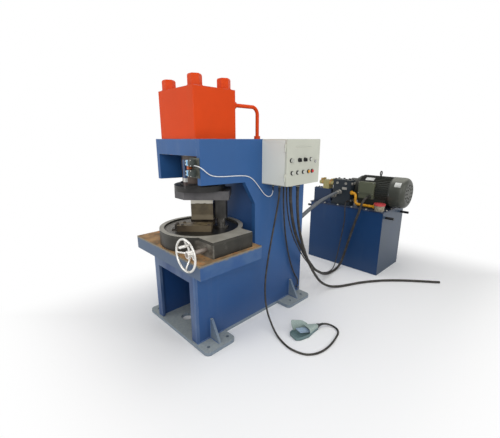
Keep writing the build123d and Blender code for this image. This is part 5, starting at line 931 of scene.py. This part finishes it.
# Two solenoid valves stand on the low block, held by socket screws. Each has a moulded coil at either
# end, a plug on each coil, and orange seals.
coil_plastic = moulding("coil_moulding", "aa9f68", 0.45)
coil_plastic.coat("solenoid_valves")
COIL_Z = 1.048
coil = [(0, 0), (0, 0.0255), (0.046, 0.0255), (0.048, 0.0240), (0.048, 0)]
cord_seal = [(0, 0), (0, 0.0075), (0.010, 0.0075), (0.011, 0.0060), (0.011, 0)]
plugs, seals, nuts = [], [], []
for y in (2.069, 2.126):
    for x, way in ((-0.142, -1), (0.002, 1)):
        plugs.append(block((x - 0.015, y - 0.0135, 1.0700), (x + 0.015, y + 0.0135, 1.1020)))
        plugs.append(turned(coil, (x - 0.024, y, COIL_Z), RIGHT))
        seals.append(bar((x - way * 0.018 - 0.003, y, COIL_Z), RIGHT, 0.0262, 0.006))
        seals.append(turned(cord_seal, (x, y - 0.0130, 1.086), FORWARD, 20))
        nuts.append(hex_head((x + way * 0.0295, y, COIL_Z), (way, 0, 0), 0.024, 0.010))
    holes = [(x, y + side * 0.018, 1.0798) for x in (-0.104, -0.036) for side in (-1, 1)]
    nuts += [cap_screw(hole, UP, 0.0055, 0.0055) for hole in holes]
piece("coil_plugs", plugs, coil_plastic, bevel=0.002)
piece("coil_seals", seals, moulding("orange_seals", "d9822b", 0.4))
piece("valve_nuts", nuts, zinc)

# The return line is a bent steel pipe in yellow paint, with union nuts. It runs into a pale filter under
# a red screwed cap with ridges for the hand.
line = Finish("return_line_paint", gloss=0.4)
mottle = line.share(line.grain(40, 4), 0.3, 0.7)
on_cap = line.times(line.along("Z", 0.8465, 0.8475), line.along("X", 0.580, 0.584))
filter_tone = line.mix(mottle, "756d5c", "a59c85")
shade = line.mix(line.along("X", 0.5925, 0.5935), line.mix(mottle, "c48610", "dba122"), filter_tone)
line.set(Base_Color=line.mix(on_cap, shade, line.mix(mottle, "a83236", "c8474a")), Roughness=0.4)
line.relief(line.grain(300, 3), 0.0001)
line.coat("return_line")
FILTER_X, LINE_Y = 0.650, 2.060
angle = np.linspace(0, 2 * pi, 96, endpoint=False)
crown = 0.0640 + 0.0014 * np.sign(np.sin(24 * angle))
crown = np.c_[FILTER_X + crown * np.cos(angle), LINE_Y + crown * np.sin(angle)]
boss = [(0, 0), (0, 0.040), (0.004, 0.038), (0.005, 0.030), (0.005, 0)]
grips = [prism(crown, 0.8520, 0.8660), turned(boss, (FILTER_X, LINE_Y, 0.8688), UP)]
piece("filter_cap_grip", grips, moulding("red_cap", "b83c3f", 0.4))
nuts = [hex_head((0.2802, LINE_Y, 0.953), RIGHT, 0.046, 0.022)]
nuts.append(hex_head((0.598, LINE_Y, 0.822), LEFT, 0.046, 0.026))
piece("return_unions", nuts, moulding("pipe_nut_paint", "cf941a", 0.4), bevel=0.001)

# The earth lead's terminal is held on a stud of the column by a zinc-plated nut and a washer, with a
# second nut behind it.
STUD_Y, STUD_Z, STUD_FLATS, STUD_NUT = 0.960, 0.080, 0.0190, 0.0070
stud = [bar((0.3358, STUD_Y, STUD_Z), RIGHT, 0.0140, 0.002, 24)]
stud.append(hex_head((0.3376, STUD_Y, STUD_Z), RIGHT, STUD_FLATS, STUD_NUT))
stud.append(hex_head((0.3052, STUD_Y, STUD_Z), RIGHT, STUD_FLATS, STUD_NUT, 0.2))
piece("earth_nuts", stud, zinc)


# Leads and hoses are black rubber over stranded wire or braid, dusty on the outside; the limit switches'
# lead is white. Each hangs from its gland or fitting, and those that reach the floor lie on it.
def rubber(name, colour, dust):
    """Rubber sheath: its colour with patches of pale dust, and a slightly rough skin."""
    skin = Finish(name, gloss=0.3)
    dusty = skin.share(skin.grain(22, 5), 0.42, 0.75)
    skin.set(Base_Color=skin.mix(skin.times(dusty, 0.3), colour, dust), Roughness=0.55)
    skin.relief(skin.grain(500, 2), 0.00008)
    return skin


def lead(node, diameter, length, finish, slot, points, far_end="object", stiffness="medium", lay="hanging"):
    """One lead or hose on a smooth spline along the places of its fall, given in millimetres."""
    points = np.array(points) / 1000
    curve = bpy.data.curves.new(node + "_run", "CURVE")
    curve.dimensions = "3D"
    spline = curve.splines.new("NURBS")
    spline.points.add(len(points) - 1)
    spline.points.foreach_set("co", np.c_[points, np.ones(len(points))].ravel())
    spline.order_u = 3
    spline.use_endpoint_u = True
    spline.resolution_u = 10
    curve.bevel_depth = diameter / 2
    curve.bevel_resolution = 5
    curve.use_fill_caps = True
    curve.materials.append(finish.material)
    run = bpy.data.objects.new(node + "_run", curve)
    scene.collection.objects.link(run)
    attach(run, "machine")
    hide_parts(node)


black_rubber = rubber("black_rubber", "2d2a27", "6e6a62")
hose_rubber = rubber("hose_rubber", "5c6064", "8a8d91")
white_sheath = rubber("white_sheath", "d9dde0", "a9a59b")
run = [
    (395, 545, 1202), (395, 545, 1130), (391, 525, 1010), (386, 490, 850), (384, 455, 700), (385, 420, 550),
    (388, 392, 410), (400, 372, 290), (428, 352, 185), (475, 330, 105), (540, 305, 50), (615, 270, 18),
    (690, 238, 8), (780, 210, 8), (851, 203, 8), (955, 229, 8), (1008, 299, 8), (1031, 387, 8),
    (1028, 500, 8), (1008, 600, 8), (993, 656, 8), (962, 695, 8), (915, 708, 10), (868, 690, 19),
    (841.5, 648.4, 28), (831.1, 609.7, 28),
]
lead("pedal_lead", 0.016, 2.347, black_rubber, "black_rubber", run)
run = [
    (330, 680, 1202), (330, 680, 1130), (328, 686, 1040), (327, 698, 930), (326, 716, 800), (325, 742, 670),
    (325, 776, 540), (325, 818, 420), (325, 866, 310), (326, 915, 225), (327, 952, 178), (327, 960, 141),
    (327, 960, 110),
]
lead("earth_lead", 0.014, 1.144, black_rubber, "black_rubber", run)
run = [
    (440, 640, 1202), (440, 640, 1120), (441, 655, 1010), (441, 690, 860), (440, 752, 715), (437, 840, 580),
    (430, 940, 455), (418, 1050, 340), (400, 1165, 235), (376, 1290, 162), (350, 1415, 89), (326, 1540, 40),
    (312, 1660, 18), (306, 1770, 15), (303, 1850, 32), (304, 1905, 75), (312, 1940, 150), (330, 1955, 250),
    (355, 1959, 370), (384, 1959, 490), (415, 1953, 600), (445, 1944, 700), (470, 1930, 760),
    (482, 1925, 815), (491, 1936, 862), (498, 1962, 899), (503, 1998, 920), (505, 2036, 926),
    (505, 2060, 926),
]
lead("motor_lead", 0.028, 2.923, black_rubber, "black_rubber", run)
run = [
    (480, 690, 1202), (480, 690, 1120), (480, 697, 1010), (480, 718, 870), (481, 760, 730), (481, 820, 590),
    (480, 890, 465), (478, 970, 345), (477, 1060, 230), (480, 1150, 130), (493, 1240, 63), (520, 1320, 24),
    (560, 1395, 13), (605, 1475, 13), (648, 1578, 13), (700, 1685, 13), (765, 1790, 13), (845, 1900, 13),
    (945, 2010, 13), (1060, 2115, 13), (1190, 2220, 13), (1321, 2323, 13),
]
lead("supply_lead", 0.026, 2.709, black_rubber, "black_rubber", run, far_end="bare")
run = [
    (270, -233, 1420), (290, -233, 1420), (310, -228, 1417), (324, -214, 1407), (327, -192, 1391),
    (322, -166, 1371), (315, -132, 1350), (312, -85, 1336), (312, -20, 1329), (312, 70, 1326),
    (312, 165, 1322), (312, 245, 1313), (312, 305, 1283), (312, 358, 1232), (312, 408, 1176),
    (313, 445, 1138), (316, 480, 1116), (322, 510, 1113), (328, 529, 1132), (330, 535, 1168),
    (330, 535, 1202),
]
lead("switch_lead", 0.007, 0.977, white_sheath, "white_lead", run)
run = [
    (385, 655, 1202), (385, 655, 1120), (386, 668, 1010), (387, 702, 860), (386, 764, 715), (383, 852, 580),
    (376, 952, 455), (364, 1062, 345), (346, 1178, 245), (324, 1302, 160), (304, 1425, 92), (288, 1545, 42),
    (279, 1640, 14), (274, 1725, 9), (267, 1795, 29), (257, 1838, 64), (253, 1870, 112), (252, 1898, 188),
    (252, 1922, 276), (258, 1942, 388), (270, 1953, 515), (281, 1955, 640), (277, 1950, 735),
    (270, 1954, 790), (266, 1967, 824), (263, 1988, 842), (262, 2008, 848), (262, 2025, 848),
]
lead("valve_lead", 0.012, 2.720, black_rubber, "black_rubber", run)
run = [
    (150, 1062, 738), (150, 1122, 738), (150, 1200, 755), (150, 1300, 797), (150, 1420, 840),
    (149, 1545, 879), (148, 1665, 909), (146, 1785, 931), (143, 1890, 945), (140, 1945, 950),
    (140, 1995, 950),
]
lead("pressure_hose", 0.034, 0.963, hose_rubber, "black_rubber", run, stiffness="stiff", lay="taut")
run = [
    (85, 1062, 690), (85, 1122, 690), (84, 1200, 705), (81, 1295, 741), (78, 1420, 788), (75, 1545, 829),
    (72, 1665, 862), (71, 1785, 886), (70, 1888, 899), (70, 1942, 903), (70, 1995, 903),
]
lead("return_hose", 0.034, 0.964, hose_rubber, "black_rubber", run, stiffness="stiff", lay="taut")
